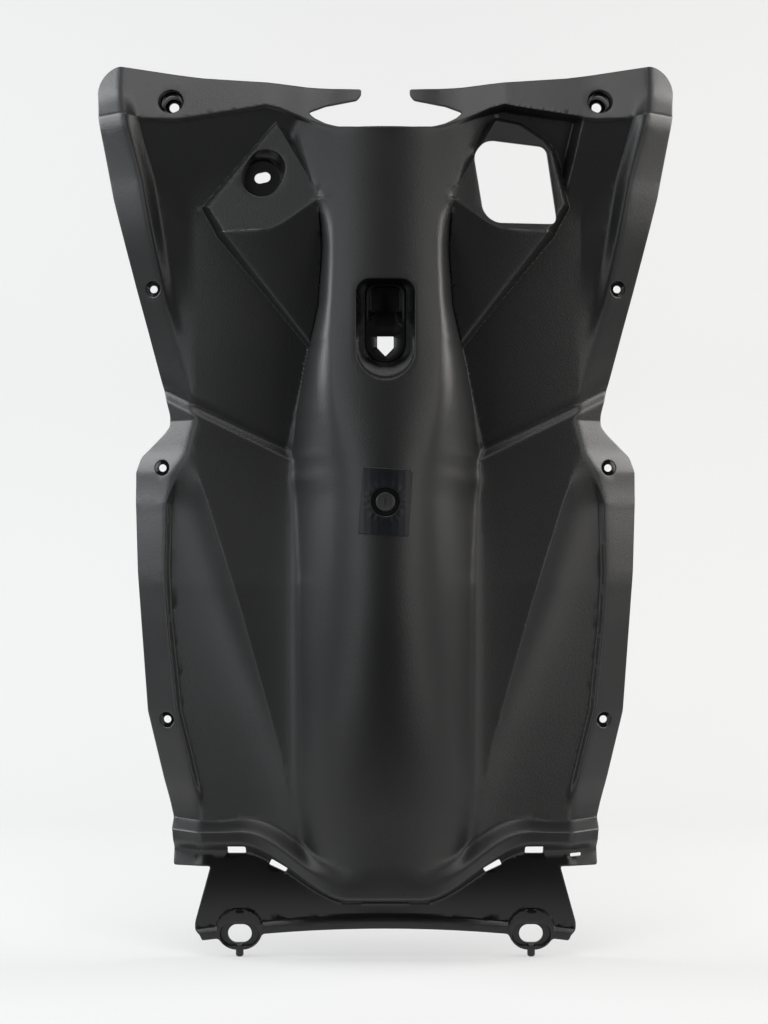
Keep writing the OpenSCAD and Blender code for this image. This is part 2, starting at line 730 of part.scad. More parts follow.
// Raised pad with a locating peg round a floor bolt
module bolt_pad(side) {
    h = bolt_pad_top + bolt_pad_foot;
    translate([side * bolt_u, 0, (bolt_pad_top - bolt_pad_foot) / 2])
        block(origin_d - wall, apron_d + bolt_pad_out) stadium(bolt_pad_w, h);
    translate([side * bolt_u, -apron_d, -bolt_pad_foot - peg_l + 1])
        cylinder(r = peg_r, h = peg_l + 1, $fn = round_fn);
}

// Sunk seat for the head of a floor bolt
module bolt_seat(side) {
    translate([side * bolt_u, 0, 0]) block(origin_d, origin_d + reach) stadium(bolt_seat_w, bolt_seat_h);
}

// Slot for a floor bolt, through its seat
module bolt_slot(side) {
    translate([side * bolt_u, 0, 0])
        block(-over, 2 * reach) stadium(bolt_slot_l + 2 * bolt_slot_r, 2 * bolt_slot_r);
}

// Body between a ring of points near the back and one of as many points in front of it
module loft(back, back_d, front, front_d) {
    n = len(back);
    points = concat([for (p = front) [p[0], -front_d, p[1]]], [for (p = back) [p[0], -back_d, p[1]]]);
    faces = concat(
        [[for (i = [0:n - 1]) n - 1 - i]],
        [[for (i = [0:n - 1]) n + i]],
        [for (i = [0:n - 1]) each let (j = (i + 1) % n) [[i, j, j + n], [i, j + n, i + n]]]
    );
    polyhedron(points, faces, convexity = 4);
}

// Ring of points round the pocket, round at the bottom and with small corners at the top
function pocket_ring(w, low, high, r) =
    let (half = w / 2)
    [
        for (i = [0:16]) [half * cos(180 + i * 11.25), low + half + half * sin(180 + i * 11.25)],
        for (i = [0:4]) [half - r + r * cos(i * 22.5), high - r + r * sin(i * 22.5)],
        for (i = [0:4]) [r - half + r * cos(90 + i * 22.5), high - r + r * sin(90 + i * 22.5)]
    ];
// Rectangle of points
function box_ring(half, low, high) = [[-half, low], [half, low], [half, high], [-half, high]];

// Bowl of the pocket, which tapers from a rim at a stand-off to its floor
module pocket_bowl(grow, rim_grow, rim_d) {
    low = pocket_z - pocket_h / 2;
    high = pocket_z + pocket_h / 2;
    loft(
        pocket_ring(
            pocket_floor_w + 2 * grow, low + pocket_lip - grow, high - floor_head_in + grow,
            pocket_r - floor_corner_in + grow
        ),
        stand(0, pocket_z) - pocket_depth - grow,
        pocket_ring(pocket_w + 2 * rim_grow, low - rim_grow, high + rim_grow, pocket_r + rim_grow),
        rim_d
    );
}

// Upper end of the pocket, which runs deeper behind the floor
module pocket_end(grow) {
    d = stand(0, pocket_z);
    half = pocket_floor_w / 2 - end_side_in + grow;
    low = pocket_z + end_foot_up - grow;
    high = pocket_z + pocket_h / 2 - end_head_in + grow;
    loft(
        box_ring(half, low + end_ramp_h, high), d - pocket_top_depth - grow,
        box_ring(half, low, high), d - pocket_depth + 2 * over
    );
}

// Tub behind the crown that forms the pocket
module pocket_tub() {
    difference() {
        union() {
            pocket_bowl(wall, wall * 0.6, stand(0, pocket_z));
            pocket_end(wall);
        }
        ahead(0, pocket_z, wall * 0.96);
    }
}

// Five-sided hole in the pocket floor, with its point down
module hook_hole() {
    half = hook_hole_w / 2;
    top = hook_hole_h / 2;
    translate([0, 0, pocket_z - hook_hole_drop])
        block(0, 2 * reach)
            polygon([
                [-half, top], [half, top], [half, top - hook_hole_side], [0, -top],
                [-half, top - hook_hole_side]
            ]);
}

// Switch opening in the right pod, with its inner corners rounder than its outer ones
module switch_opening() {
    top = switch_z + switch_h;
    low_r = switch_r + switch_low_in;
    outer_r = switch_r / 2;
    foot_r = switch_r / 3;
    block(0, 2 * reach)
        hull() {
            translate([switch_u + low_r - switch_low_in, switch_z + low_r])
                circle(r = low_r, $fn = round_fn);
            translate([switch_u - switch_inner_out + switch_r, top - switch_inner_drop - switch_r])
                circle(r = switch_r, $fn = round_fn);
            translate([switch_u + switch_w - switch_outer_in - outer_r, top - switch_outer_drop - outer_r])
                circle(r = outer_r, $fn = round_fn);
            translate([switch_u + switch_w - foot_r, switch_z + foot_r])
                circle(r = foot_r, $fn = round_fn);
        }
}

// Leaning cup in the left pod, between a rim and a floor
module lock_body(grow, low, high) {
    d = stand(-lock_u, lock_z);
    hull() {
        pin(-lock_u, lock_z, lock_r + grow, d - lock_depth - low, d - lock_depth);
        pin(-lock_u + lock_lean_u, lock_z + lock_lean_z, lock_r + grow, d + high - over, d + high);
    }
}

// Tub behind the pod that forms the lock cup
module lock_tub() {
    difference() {
        lock_body(wall, wall, over);
        ahead(-lock_u, lock_z, wall / 2);
    }
}

// Hollow of the lock cup with its slanting slot
module lock_hollow() {
    lock_body(0, 0, over + 0.5);
    translate([-lock_u, 0, lock_z + lock_slot_up])
        rotate([0, -lock_slot_tilt, 0])
            block(0, 2 * reach) stadium(lock_slot_l + 2 * lock_slot_r, 2 * lock_slot_r);
}

// Tube and hollow of the round seat for the plug
module plug_seat_tube() {
    d = stand(0, plug_z);
    pin(0, plug_z, seat_r + wall, d - plug_head_t - fit_gap - 2 * wall, d - wall / 2);
}
module plug_seat_hollow() {
    d = stand(0, plug_z);
    pin(0, plug_z, seat_r, d - plug_head_t - fit_gap, d + reach);
    pin(0, plug_z, plug_shank_r + fit_gap, 0, d);
}

// Straight slot through the wall, between two stand-offs
module slot(x, z, w, h, turn, low) {
    translate([x, 0, z]) rotate([0, turn, 0]) block(low, 2 * reach) square([w, h], center = true);
}

// Slots along the step under the lip, clip recesses and the slot in the right tab
module lip_slots() {
    drop = seam_drop * 0.75;
    for (s = [-1, 1]) {
        slot(s * outer_slot_u, lip_z(outer_slot_u) - drop, lip_slot_w, lip_slot_h, 0, 0);
        slot(s * inner_slot_u, lip_z(inner_slot_u) - drop, lip_slot_w, lip_slot_h, s * -inner_slot_turn, 0);
        slot(s * clip_u, lip_z(clip_u) - seam_drop + clip_h / 2, clip_w, clip_h, 0, apron_d - 1);
    }
    slot(tab_slot_u, lip_side_z - seam_drop - 2, tab_slot_w, tab_slot_h, 0, 0);
}

module leg_shield() {
    color(plastic)
        translate([0, origin_d, 0]) difference() {
            union() {
                shell();
                for (s = [-1, 1]) {
                    cup_tube(s * top_screw_u, top_screw_z, top_cup_r, top_cup_depth);
                    cup_tube(s * upper_screw_u, upper_screw_z, side_cup_r, side_cup_depth);
                    cup_tube(s * middle_screw_u, middle_screw_z, side_cup_r, side_cup_depth);
                    cup_tube(s * lower_screw_u, lower_screw_z, side_cup_r, side_cup_depth);
                    bolt_pad(s);
                }
                pocket_tub();
                lock_tub();
                plug_seat_tube();
            }
            notch();
            for (s = [-1, 1]) {
                corner_waste(s);
                apron_waste(s);
                deep_hollow(s * top_screw_u, top_screw_z, top_cup_r, top_cup_depth, top_hole_r);
                cup_hollow(s * upper_screw_u, upper_screw_z, side_cup_r, side_cup_depth, side_hole_r);
                cup_hollow(s * middle_screw_u, middle_screw_z, side_cup_r, side_cup_depth, side_hole_r);
                cup_hollow(s * lower_screw_u, lower_screw_z, side_cup_r, side_cup_depth, side_hole_r);
                bolt_seat(s);
                bolt_slot(s);
            }
            pocket_bowl(0, 0, stand(0, pocket_z) + over);
            pocket_end(0);
            hook_hole();
            switch_opening();
            lock_hollow();
            plug_seat_hollow();
            lip_slots();
        }
}

// Film stuck to the crown, bent to follow it, with a round hole for the plug's seat
module film_patch() {
    nx = 12;
    nz = 8;
    function place(i, j) =
        let (
            a = film_w * (i / nx - 0.5), b = film_h * (j / nz - 0.5),
            x = a * cos(film_turn) + b * sin(film_turn), z = b * cos(film_turn) - a * sin(film_turn)
        ) [x, z + plug_z];
    function layer(lift) = [
        for (j = [0:nz]) for (i = [0:nx]) let (p = place(i, j)) [p[0], -(stand(p[0], p[1]) + lift), p[1]]
    ];
    row = nx + 1;
    back = row * (nz + 1);
    faces = concat(
        [for (j = [0:nz - 1]) for (i = [0:nx - 1]) each
            let (a = j * row + i) [[a, a + row, a + row + 1], [a, a + row + 1, a + 1]]],
        [for (j = [0:nz - 1]) for (i = [0:nx - 1]) each
            let (a = back + j * row + i) [[a, a + row + 1, a + row], [a, a + 1, a + row + 1]]],
        [for (i = [0:nx - 1]) each [[i, i + 1, i + 1 + back], [i, i + 1 + back, i + back]]],
        [for (i = [0:nx - 1]) each
            let (a = nz * row + i) [[a, a + 1 + back, a + 1], [a, a + back, a + 1 + back]]],
        [for (j = [0:nz - 1]) each
            let (a = j * row, d = a + row) [[a, d + back, d], [a, a + back, d + back]]],
        [for (j = [0:nz - 1]) each
            let (a = (j + 1) * row - 1, d = a + row) [[a, d, d + back], [a, d + back, a + back]]]
    );
    color(film_black)
        translate([0, origin_d, 0]) difference() {
            polyhedron(concat(layer(fit_gap + film_t), layer(fit_gap)), faces, convexity = 4);
            pin(0, plug_z, seat_r, 0, 2 * reach);
        }
}

// Push-in plug with a slotted head and a shank with a narrowed end
module push_plug() {
    d = stand(0, plug_z);
    seat = d - plug_head_t;
    color(plug_black)
        translate([0, origin_d, 0]) difference() {
            translate([0, -seat, plug_z])
                rotate([90, 0, 0])
                    rotate_extrude($fn = round_fn)
                        polygon([
                            [0, -wall - plug_shank_l], [plug_shank_r - 1.5, -wall - plug_shank_l],
                            [plug_shank_r, -wall - plug_shank_l + 3], [plug_shank_r, 0],
                            [plug_head_r, 0], [plug_head_r, plug_head_t - 0.6],
                            [plug_head_r - 0.6, plug_head_t], [0, plug_head_t]
                        ]);
            translate([-0.6, -d - over, plug_z - 2.5]) cube([1.2, over + 0.7, 5]);
        }
}

leg_shield();
film_patch();
push_plug();
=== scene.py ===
"""Looks of a scooter leg shield: the grained moulding, its stuck-on film, the push-in plug and a studio."""
import math

import bpy
import numpy as np
from bpy.props import FloatProperty, FloatVectorProperty, IntProperty, PointerProperty
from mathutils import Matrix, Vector
from mathutils.geometry import delaunay_2d_cdt
from mathutils.kdtree import KDTree


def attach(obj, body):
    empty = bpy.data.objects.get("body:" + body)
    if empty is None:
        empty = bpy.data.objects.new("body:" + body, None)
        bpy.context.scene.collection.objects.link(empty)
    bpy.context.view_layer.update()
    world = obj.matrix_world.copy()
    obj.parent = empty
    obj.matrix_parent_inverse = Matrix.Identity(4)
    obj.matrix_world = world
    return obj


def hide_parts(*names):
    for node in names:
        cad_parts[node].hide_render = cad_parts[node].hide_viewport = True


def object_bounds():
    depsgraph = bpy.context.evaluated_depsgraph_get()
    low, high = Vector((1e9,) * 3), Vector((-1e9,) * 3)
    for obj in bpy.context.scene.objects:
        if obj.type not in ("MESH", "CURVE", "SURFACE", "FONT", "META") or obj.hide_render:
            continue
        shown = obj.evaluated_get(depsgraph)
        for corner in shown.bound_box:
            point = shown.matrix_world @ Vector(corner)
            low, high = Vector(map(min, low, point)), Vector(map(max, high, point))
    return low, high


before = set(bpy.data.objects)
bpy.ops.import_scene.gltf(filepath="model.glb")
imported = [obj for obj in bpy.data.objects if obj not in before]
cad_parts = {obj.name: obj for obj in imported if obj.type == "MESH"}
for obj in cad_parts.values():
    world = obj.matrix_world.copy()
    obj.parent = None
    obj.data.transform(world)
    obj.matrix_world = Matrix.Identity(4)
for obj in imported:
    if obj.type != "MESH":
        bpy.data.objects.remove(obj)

bl_info = {
    "name": "Scooter leg shield",
    "version": (1, 0, 0),
    "blender": (4, 5, 0),
    "location": "3D View > Sidebar > Leg Shield",
    "description": "Builds the leg shield's moulding, film, plug and studio on the packed frame",
    "category": "Object",
}

MM = 0.001
CAD_BOX = [list(corner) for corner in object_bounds()]

# Shape of the front, in millimetres
# x is across, z is up, u is the distance from the middle, and a stand-off is measured towards the rider.

CORNER_W, CORNER_Z, CORNER_R, TOP_MID_Z = 206, 619, 17, 598
FOOT_W, APRON_W = 152, 136
FLANGE_FALL, CROWN_D, CROWN_FALL = 0.85, 95, 9
LEDGE_MID_Z, LEDGE_SIDE_Z, LEDGE_STEP, LEDGE_H, LEDGE_BLEND = 341, 382, 5.5, 6.8, 14
LOWER_D, FOOT_RISE, CREASE_DROP, CHANNEL, KNEE_DEPTH, BAND_D = 45, 3, 11, 4, 8, 67
POD_TIP_U, POD_TIP_Z, POD_D, POD_STEP, PIT = 57, 405, 71, 1.6, 12
POD_WALL, POD_ROUND = 3.0, 0.8
LIP_MID_Z, LIP_SIDE_Z, LIP_MID_D, LIP_SIDE_D = 30, 67, 67, 51
APRON_D, RIB_H, RIB_OUT, SEAM_DROP = 42, 6, 3, 9
SADDLE_Z, CREST_ROUND, CROWN_ROUND, WALL_BOW = 569, 3.0, 7.0, 0.5
BOLT_U, PAD_W, PAD_TOP, PAD_FOOT, PAD_OUT = 104, 33, 18, 11, 3
SEAT_W, SEAT_H, SEAT_DEPTH, SLOT_W, SLOT_H = 28, 17, 4, 17, 13
ORIGIN_D = APRON_D + PAD_OUT - SEAT_DEPTH
POCKET_W, POCKET_FOOT, POCKET_HEAD, POCKET_CORNER = 41, 392, 462, 10
LOCK_CENTRE, LOCK_LEAN, LOCK_R = (-87.0, 536.5), (3.0, 5.2), 13.4
PLUG_Z, PLUG_COUNT, CUP_RIM = 308, 56, 0.7

OUTLINE = [[-40, 152], [62, 152], [80, 154], [156, 173], [258, 181], [308, 183], [330, 183], [341, 179],
           [357, 161.5], [363, 156.5], [371, 156.5], [415, 168], [461, 179.5], [525, 194.5], [577, 203],
           [600, 206], [660, 206]]
CREST = [[-40, 130], [48, 130], [98, 136], [127, 143], [158, 151], [222, 158], [258, 160], [307, 159],
         [330, 152], [345, 143], [367, 137], [390, 142], [415, 149], [451, 159], [493, 166], [536, 173],
         [571, 182], [600, 188], [660, 190]]
SLANT = [[60, 64], [97, 69], [134, 76], [170, 86], [240, 106], [309, 128], [326, 134], [345, 140]]
INNER = [[-40, 50], [20, 52], [60, 57], [86, 61], [200, 62], [260, 62], [307, 64], [341, 67], [372, 64],
         [407, 57.5], [447, 48], [486, 45], [526, 48], [577, 78], [600, 84], [660, 84]]
CROWN_EDGE = [[-40, 44], [36, 44], [100, 40], [171, 34], [240, 29], [325, 30], [355, 36], [378, 41],
              [400, 43], [430, 42], [447, 40], [486, 38], [569, 38], [660, 38]]
CROWN = [[20, CROWN_D - 29], [60, CROWN_D - 29], [100, CROWN_D - 21], [150, CROWN_D - 12],
         [240, CROWN_D - 3], [341, CROWN_D], [430, CROWN_D - 2], [500, CROWN_D - 7], [569, CROWN_D - 14],
         [620, CROWN_D - 19]]
KNEE = [[320, 26], [341, 29], [382, 35], [420, 40], [460, 44.5], [500, 49], [525, 52], [562, 56], [620, 60]]
LOWER = [[20, LOWER_D + 2], [60, LOWER_D + 1], [90, LOWER_D], [160, LOWER_D], [250, LOWER_D - 1],
         [345, LOWER_D - 9]]
BAND = [[0, SADDLE_Z], [38, SADDLE_Z + 1.5], [53, 576], [74, 585], [84, 587.5], [92, 586], [120, 582],
        [148, 578], [170, 579], [190, 584], [230, 592]]
RIDGE = [[0, BAND_D], [84, BAND_D - 1], [140, BAND_D - 4], [170, BAND_D - 4], [190, BAND_D - 6],
         [210, BAND_D - 10]]
TOP = [[0, TOP_MID_Z], [20, TOP_MID_Z], [129, TOP_MID_Z + 11], [190, CORNER_Z], [230, CORNER_Z]]
FACE_EDGE = [[40, 526], [45, 522.5], [72, 504.5], [80, 500.7], [90, 499.3], [116, 498.5], [140, 498]]
NOTCH = [[17, 598], [17, 593], [20, 589], [42, 586], [54, 581.5], [50, 577.5], [42, 573], [33, 570],
         [19, 569]]
APEX, LEFT, RIGHT = [81, 571, POD_D - 8], [128.5, 515, POD_D - 13], [45, 522.5, POD_D]
TIP, LOW, MID = [POD_TIP_U, POD_TIP_Z, 44], [116, 499], [79.5, 500.5]
LEFT_BORDER = [APEX, LEFT, LOW, TIP]
RIGHT_BORDER = [[77, 577.5], [95.5, 574.5], [111.5, 564.5], [118.5, 556], LEFT, LOW, TIP]
OUTER_FLAT = [[140, 577, 62], [128, 523, 48], [178, 562, 58.5]]
LEFT_FLAT = [[84, 587, 65], [140, 577, 62], [128, 523, 48]]

HOOK = [[-5.75, 424], [-5.75, 416], [0, 410], [5.75, 416], [5.75, 424]]
TOP_CUP = [(8.9, 1.5), (8.3, 7.5), (7.6, 10.2), (6.3, 10.8), (6.0, 17), (5.7, 21.4), (5.2, 22),
           (3.9, 22), (3.5, 22.4)]
SIDE_CUP = [(5.7, 1.2), (5.5, 3.6), (5.1, 4.0), (3.0, 4.0), (2.7, 4.3)]
SCREWS = [(151.5, 591, TOP_CUP), (166.5, 461, SIDE_CUP), (161.909, 333, SIDE_CUP), (157.75, 151, SIDE_CUP)]

LOW_CORNER, HIGH_CORNER, LONGEST_SIDE = (-207.0, -14.0), (207.0, 620.0), 14
FRONT_GRID, FRONT_CLEAR = (4.8, 3, 0.115), 0.55
BACK_GRID, BACK_CLEAR = (5.6, 2, 0.3), 0.7


def lookup(t, table):
    """Value of a table at t, straight between its lines."""
    lines = np.asarray(table, float)
    return np.interp(t, lines[:, 0], lines[:, 1])


def bent(t, table, reach=12):
    """Value of a table at t, with its corners rounded over a reach on both sides."""
    return sum(lookup(t + step * reach, table) for step in (-1, -0.5, 0, 0.5, 1)) / 5


def ease(a, b, t):
    """Smooth step from 0 at a to 1 at b."""
    s = np.clip((t - a) / (b - a), 0, 1)
    return s * s * (3 - 2 * s)


def soft_max(a, b, r):
    """The larger of two heights, rounded where they cross."""
    return np.maximum(a, b) + np.maximum(0, r - np.abs(a - b)) ** 2 / (4 * r)


def soft_ramp(t, r):
    """Zero below 0 and t above it, rounded over a width r on both sides."""
    return np.where(t < -r, 0, np.where(t > r, t, (t + r) ** 2 / (4 * r)))


def plane(p, q, r, u, z):
    """Stand-off of the plane through three points."""
    p, q, r = (np.asarray(v, float) for v in (p, q, r))
    n = np.cross(q - p, r - p)
    return p[2] - (n[0] * (u - p[0]) + n[1] * (z - p[1])) / n[2]


def beside(p, q, u, z):
    """Distance to the right of the line from p to q."""
    dx, dz = q[0] - p[0], q[1] - p[1]
    return (dz * (u - p[0]) - dx * (z - p[1])) / np.hypot(dx, dz)


def on_face(p, lift):
    """Point of the pod's border, lifted from the plane of the pod's face."""
    return [p[0], p[1], float(plane(APEX, RIGHT, LEFT, p[0], p[1])) + lift]


def outline_u(z):
    """Half width of the panel at a height."""
    return lookup(z, OUTLINE)


def crest_u(z):
    """Where the side flange starts to lean back."""
    return lookup(z, CREST)


def lip_z(u):
    """Height of the edge of the bottom lip."""
    return LIP_MID_Z + (LIP_SIDE_Z - LIP_MID_Z) * ease(25, 105, u)


def seam_z(u):
    """Height where the lower flange starts."""
    return lip_z(u) - SEAM_DROP


def crest_z(u):
    """Height of the lip's crest."""
    return lip_z(u) + 6


def lip_d(u):
    """Stand-off of the lip."""
    return LIP_MID_D + (LIP_SIDE_D - LIP_MID_D) * ease(25, 105, u)


def foot_z(u):
    """Height of the lower flange's foot."""
    return 4 - 6 * (u / 110) ** 2


def ledge_z(u):
    """Height of the ledge between knee panel and lower panel."""
    return LEDGE_MID_Z + (LEDGE_SIDE_Z - LEDGE_MID_Z) * np.clip((u - 67) / 86, 0, 1.4)


def band_z(u):
    """Height of the band's lower border."""
    return lookup(u, BAND)


def top_z(u):
    """Height of the top edge."""
    return lookup(u, TOP)


def bow(u, z):
    """Fall of the knee panel towards the side."""
    return np.clip(u - 70, 0, 70) ** 2 / 1000 + (0.35 - 0.52 * ease(400, 510, z)) * np.maximum(0, u - 140)


def knee(u, z):
    """Stand-off of the knee panel."""
    return lookup(z, KNEE) - bow(u, z) - 2 * ease(12, 0, z - ledge_z(u))


def lower(u, z):
    """Stand-off of the lower panel, with the fall outside its slanted crease."""
    below = np.clip((ledge_z(u) - z) / 110, 0, 1)
    w = 1 - (1 - below) ** 2
    edge = knee(u, ledge_z(u)) + LEDGE_STEP
    out = np.maximum(0, u - lookup(z, SLANT))
    depth = 2 + (CREASE_DROP - 2) * ease(90, 270, z)
    drop = depth * (1 - np.exp(-out / 14)) + 0.10 * out
    rise = FOOT_RISE * np.exp(-np.maximum(0, u - lookup(z, INNER)) / 12) * ease(60, 110, z)
    return edge * (1 - w) + (lookup(z, LOWER) - 0.05 * (u - 62)) * w - drop * ease(345, 300, z) + rise


def flats(x, z):
    """Flats under the band, with the pit beside the right pod."""
    u = np.abs(x)
    deep = -beside(OUTER_FLAT[1], OUTER_FLAT[0], u, z)
    flat = np.where((x < 0) & (deep > 0), plane(*LEFT_FLAT, u, z), plane(*OUTER_FLAT, u, z))
    return soft_max(knee(u, z), flat, 2) - np.where(x < 0, 0, PIT * ease(0, 7, deep) * ease(508, 560, z))


def ground(x, z):
    """Stand-off of what the tunnel and the pods stand on."""
    u = np.abs(x)
    below, half = ledge_z(u) - z, LEDGE_H / 2
    t = (soft_ramp(below + half, 1.2) - soft_ramp(below - half, 1.2)) / LEDGE_H
    return flats(x, z) * (1 - t) + lower(u, z) * t


def outside(border, u, z):
    """Distance outside the border of a pod, apart from its side to the tunnel."""
    return np.max([-beside(p, q, u, z) for p, q in zip(border, border[1:])], axis=0)


def pod(x, z):
    """Pod beside the tunnel, with its face, its two lower faces and its steep wall."""
    u = np.abs(x)
    face = plane(APEX, RIGHT, LEFT, u, z)
    mid = on_face(MID, POD_STEP)
    outer_low = plane(mid, on_face(LOW, POD_STEP), TIP, u, z)
    inner_low = plane(mid, on_face(RIGHT, POD_STEP), TIP, u, z)
    lows = -soft_max(-outer_low, -inner_low, 4)
    e = lookup(u, FACE_EDGE)
    t = ease(e + 1, e - 1, z)
    out = np.where(x < 0, outside(LEFT_BORDER, u, z), outside(RIGHT_BORDER, u, z))
    beyond = soft_ramp(out + POD_ROUND, 2 * POD_ROUND)
    inwards = np.maximum(0, lookup(z, INNER) - u)
    return face * (1 - t) + lows * t - POD_WALL * beyond - 3 * inwards


def tunnel(x, z):
    """Tunnel along the middle."""
    u = np.abs(x)
    side = np.where(x < 0, -1.0, 1.0)
    e = bent(z, CROWN_EDGE)
    f = np.maximum(e + 7, lookup(z, INNER))
    c = bent(z, CROWN, 20)
    groove = 4 * ease(520, 500, z) * ease(410, 430, z)
    low, high = ground(side * f, z - LEDGE_BLEND), ground(side * f, z + LEDGE_BLEND)
    mean = low + (high - low) * ease(LEDGE_MID_Z - 1.6 * LEDGE_BLEND, LEDGE_MID_Z + 1.6 * LEDGE_BLEND, z)
    near = ease(2 * LEDGE_BLEND, LEDGE_BLEND, np.abs(z - LEDGE_MID_Z))
    base = ground(side * f, z) * (1 - near) + mean * near
    rest = soft_max(base, pod(side * f, z) - groove + 3 * ease(568, 575, z), 1)
    drop = np.maximum(0.5 * (f - e), c - CROWN_FALL - rest)
    shoulder = 2.5 * np.maximum(0, u - f - 1) * ease(560, 570, z)
    past = soft_ramp(u - e, np.minimum(CROWN_ROUND, (f - e) / 2))
    s = past / (f - e)
    wall = s * (1 - WALL_BOW) + WALL_BOW * np.minimum(s, 1) ** 2 + WALL_BOW * np.maximum(0, s - 1)
    return c - CROWN_FALL * ((u - past) / e) ** 2 - drop * wall - shoulder


def field(x, z):
    """Everything inside the side flange and below the band."""
    return soft_max(soft_max(ground(x, z), tunnel(x, z), 2 + 3 * ease(400, 350, z)), pod(x, z), 1)


def band(x, z):
    """Band along the top edge."""
    u = np.abs(x)
    return soft_max(lookup(u, RIDGE), tunnel(x, band_z(u)), 3) - 0.5 * (z - band_z(u))


def front(x, z):
    """Front without the side flange."""
    u = np.abs(x)
    b = ease(band_z(u) - 3, band_z(u), z)
    body = field(x, z) * (1 - b) + band(x, z) * b
    flare = ease(crest_z(u) + 16 - 9 * ease(70, 120, u), crest_z(u), z)
    lipped = body * (1 - flare) + lip_d(u) * flare
    step = ease(lip_z(u), seam_z(u), z)
    rib = RIB_OUT * ease(foot_z(u) + RIB_H + 3, foot_z(u) + RIB_H - 1, z)
    return lipped * (1 - step) + (APRON_D + rib) * step


def stand(x, z):
    """Stand-off of the front at places across and up."""
    x, z = np.asarray(x, float), np.asarray(z, float)
    u = np.abs(x)
    side = np.where(x < 0, -1.0, 1.0)
    c = crest_u(z)
    low = CHANNEL * ease(88, 110, z) * ease(330, 300, z)
    high = (2 + (KNEE_DEPTH - 2) * ease(440, 540, z)) * ease(400, 460, z) * ease(600, 570, z)
    ridge = low * ease(c - 5, c, u) + high * ease(c - 10, c - 1, u)
    past = soft_ramp(u - c, CREST_ROUND)
    fall = FLANGE_FALL * past * ease(30, 75, z)
    slide = 0.5 * past * ease(335, 350, z) * ease(402, 388, z)
    return front(side * (u - past), z - slide) + ridge * ease(60, 80, z) - fall


def pad_distance(x, z):
    """Distance outside the raised pad round a floor bolt."""
    half = (PAD_TOP + PAD_FOOT) / 2
    flat = PAD_W / 2 - half
    over = np.maximum(0, np.abs(np.abs(x) - BOLT_U) - flat)
    return np.hypot(over, z - (PAD_TOP - PAD_FOOT) / 2) - half


def front_level(x, z):
    """Stand-off of the front with the raised bolt pads."""
    raised = ease(0.35, -0.35, pad_distance(x, z))
    return stand(x, z) * (1 - raised) + (APRON_D + PAD_OUT) * raised


def back_level(x, z, wall):
    """Stand-off of the back, one wall behind the front."""
    h = 1.5
    slope_x = (stand(x + h, z) - stand(x - h, z)) / (2 * h)
    slope_z = (stand(x, z + h) - stand(x, z - h)) / (2 * h)
    slope_x = np.where(np.abs(x) < h, 0, slope_x)
    depth = wall * np.minimum(1.9, np.sqrt(1 + slope_x ** 2 + slope_z ** 2))
    raised = ease(0.35, -0.35, pad_distance(x, z))
    return (stand(x, z) - depth) * (1 - raised) + (ORIGIN_D - wall) * raised


# Flat rings, in millimetres


def resampled(places, spacing, closed=True):
    """Places at even steps along a path."""
    path = np.vstack([places, places[:1]]) if closed else np.asarray(places, float)
    run = np.concatenate([[0], np.cumsum(np.hypot(*np.diff(path, axis=0).T))])
    count = max(8, int(round(run[-1] / spacing)))
    steps = np.linspace(0, run[-1], count + 1)
    if closed:
        steps = steps[:-1]
    return np.stack([np.interp(steps, run, path[:, 0]), np.interp(steps, run, path[:, 1])], 1)


def softened(places, passes):
    """Closed path with its corners rounded by averaging neighbours."""
    for _ in range(passes):
        places = (np.roll(places, 1, 0) + 2 * places + np.roll(places, -1, 0)) / 4
    return places


def grown(places, distance):
    """Closed counter-clockwise ring moved outwards."""
    along = np.roll(places, -1, 0) - np.roll(places, 1, 0)
    along /= np.hypot(*along.T)[:, None]
    return places + distance * np.stack([along[:, 1], -along[:, 0]], 1)


def circle(x, z, r, count=40):
    """Counter-clockwise circle."""
    a = np.arange(count) * 2 * math.pi / count
    return np.stack([x + r * np.cos(a), z + r * np.sin(a)], 1)


def stadium(x, z, w, h, turn=0.0, count=40):
    """Ring with round ends, about a centre."""
    half = count // 2
    a = np.linspace(-math.pi / 2, math.pi / 2, half)
    r = h / 2
    right = np.stack([(w - h) / 2 + r * np.cos(a), r * np.sin(a)], 1)
    ring = np.vstack([right, -right])
    return turned(ring, turn) + [x, z]


def turned(places, degrees):
    """Places turned counter-clockwise about the origin."""
    c, s = math.cos(math.radians(degrees)), math.sin(math.radians(degrees))
    return places @ np.array([[c, s], [-s, c]])


def rounded_box(x, z, w, h, r, turn=0.0, spacing=0.9):
    """Rectangle with rounded corners, about a centre."""
    ring = []
    for cx, cz, start in ((1, -1, -90), (1, 1, 0), (-1, 1, 90), (-1, -1, 180)):
        for step in range(5):
            a = math.radians(start + step * 22.5)
            ring.append([cx * (w / 2 - r) + r * math.cos(a), cz * (h / 2 - r) + r * math.sin(a)])
    return turned(resampled(np.array(ring), spacing), turn) + [x, z]


def hull(places):
    """Counter-clockwise convex ring round places."""
    ordered = sorted(map(tuple, places))
    sides = []
    for run in (ordered, ordered[::-1]):
        side = []
        for p in run:
            while len(side) > 1 and ((side[-1][0] - side[-2][0]) * (p[1] - side[-2][1])
                                     - (side[-1][1] - side[-2][1]) * (p[0] - side[-2][0])) <= 0:
                side.pop()
            side.append(p)
        sides += side[:-1]
    return np.array(sides)


def switch_ring(grow=0.0):
    """Ring of the switch opening, rounder at its inner corners."""
    corners = ((82, 518.5, 14.5), (75.5, 549, 13), (107.5, 552.5, 6.5), (116.2, 508.3, 4.3))
    return resampled(hull(np.vstack([circle(x, z, r + grow, 60) for x, z, r in corners])), 1.4)


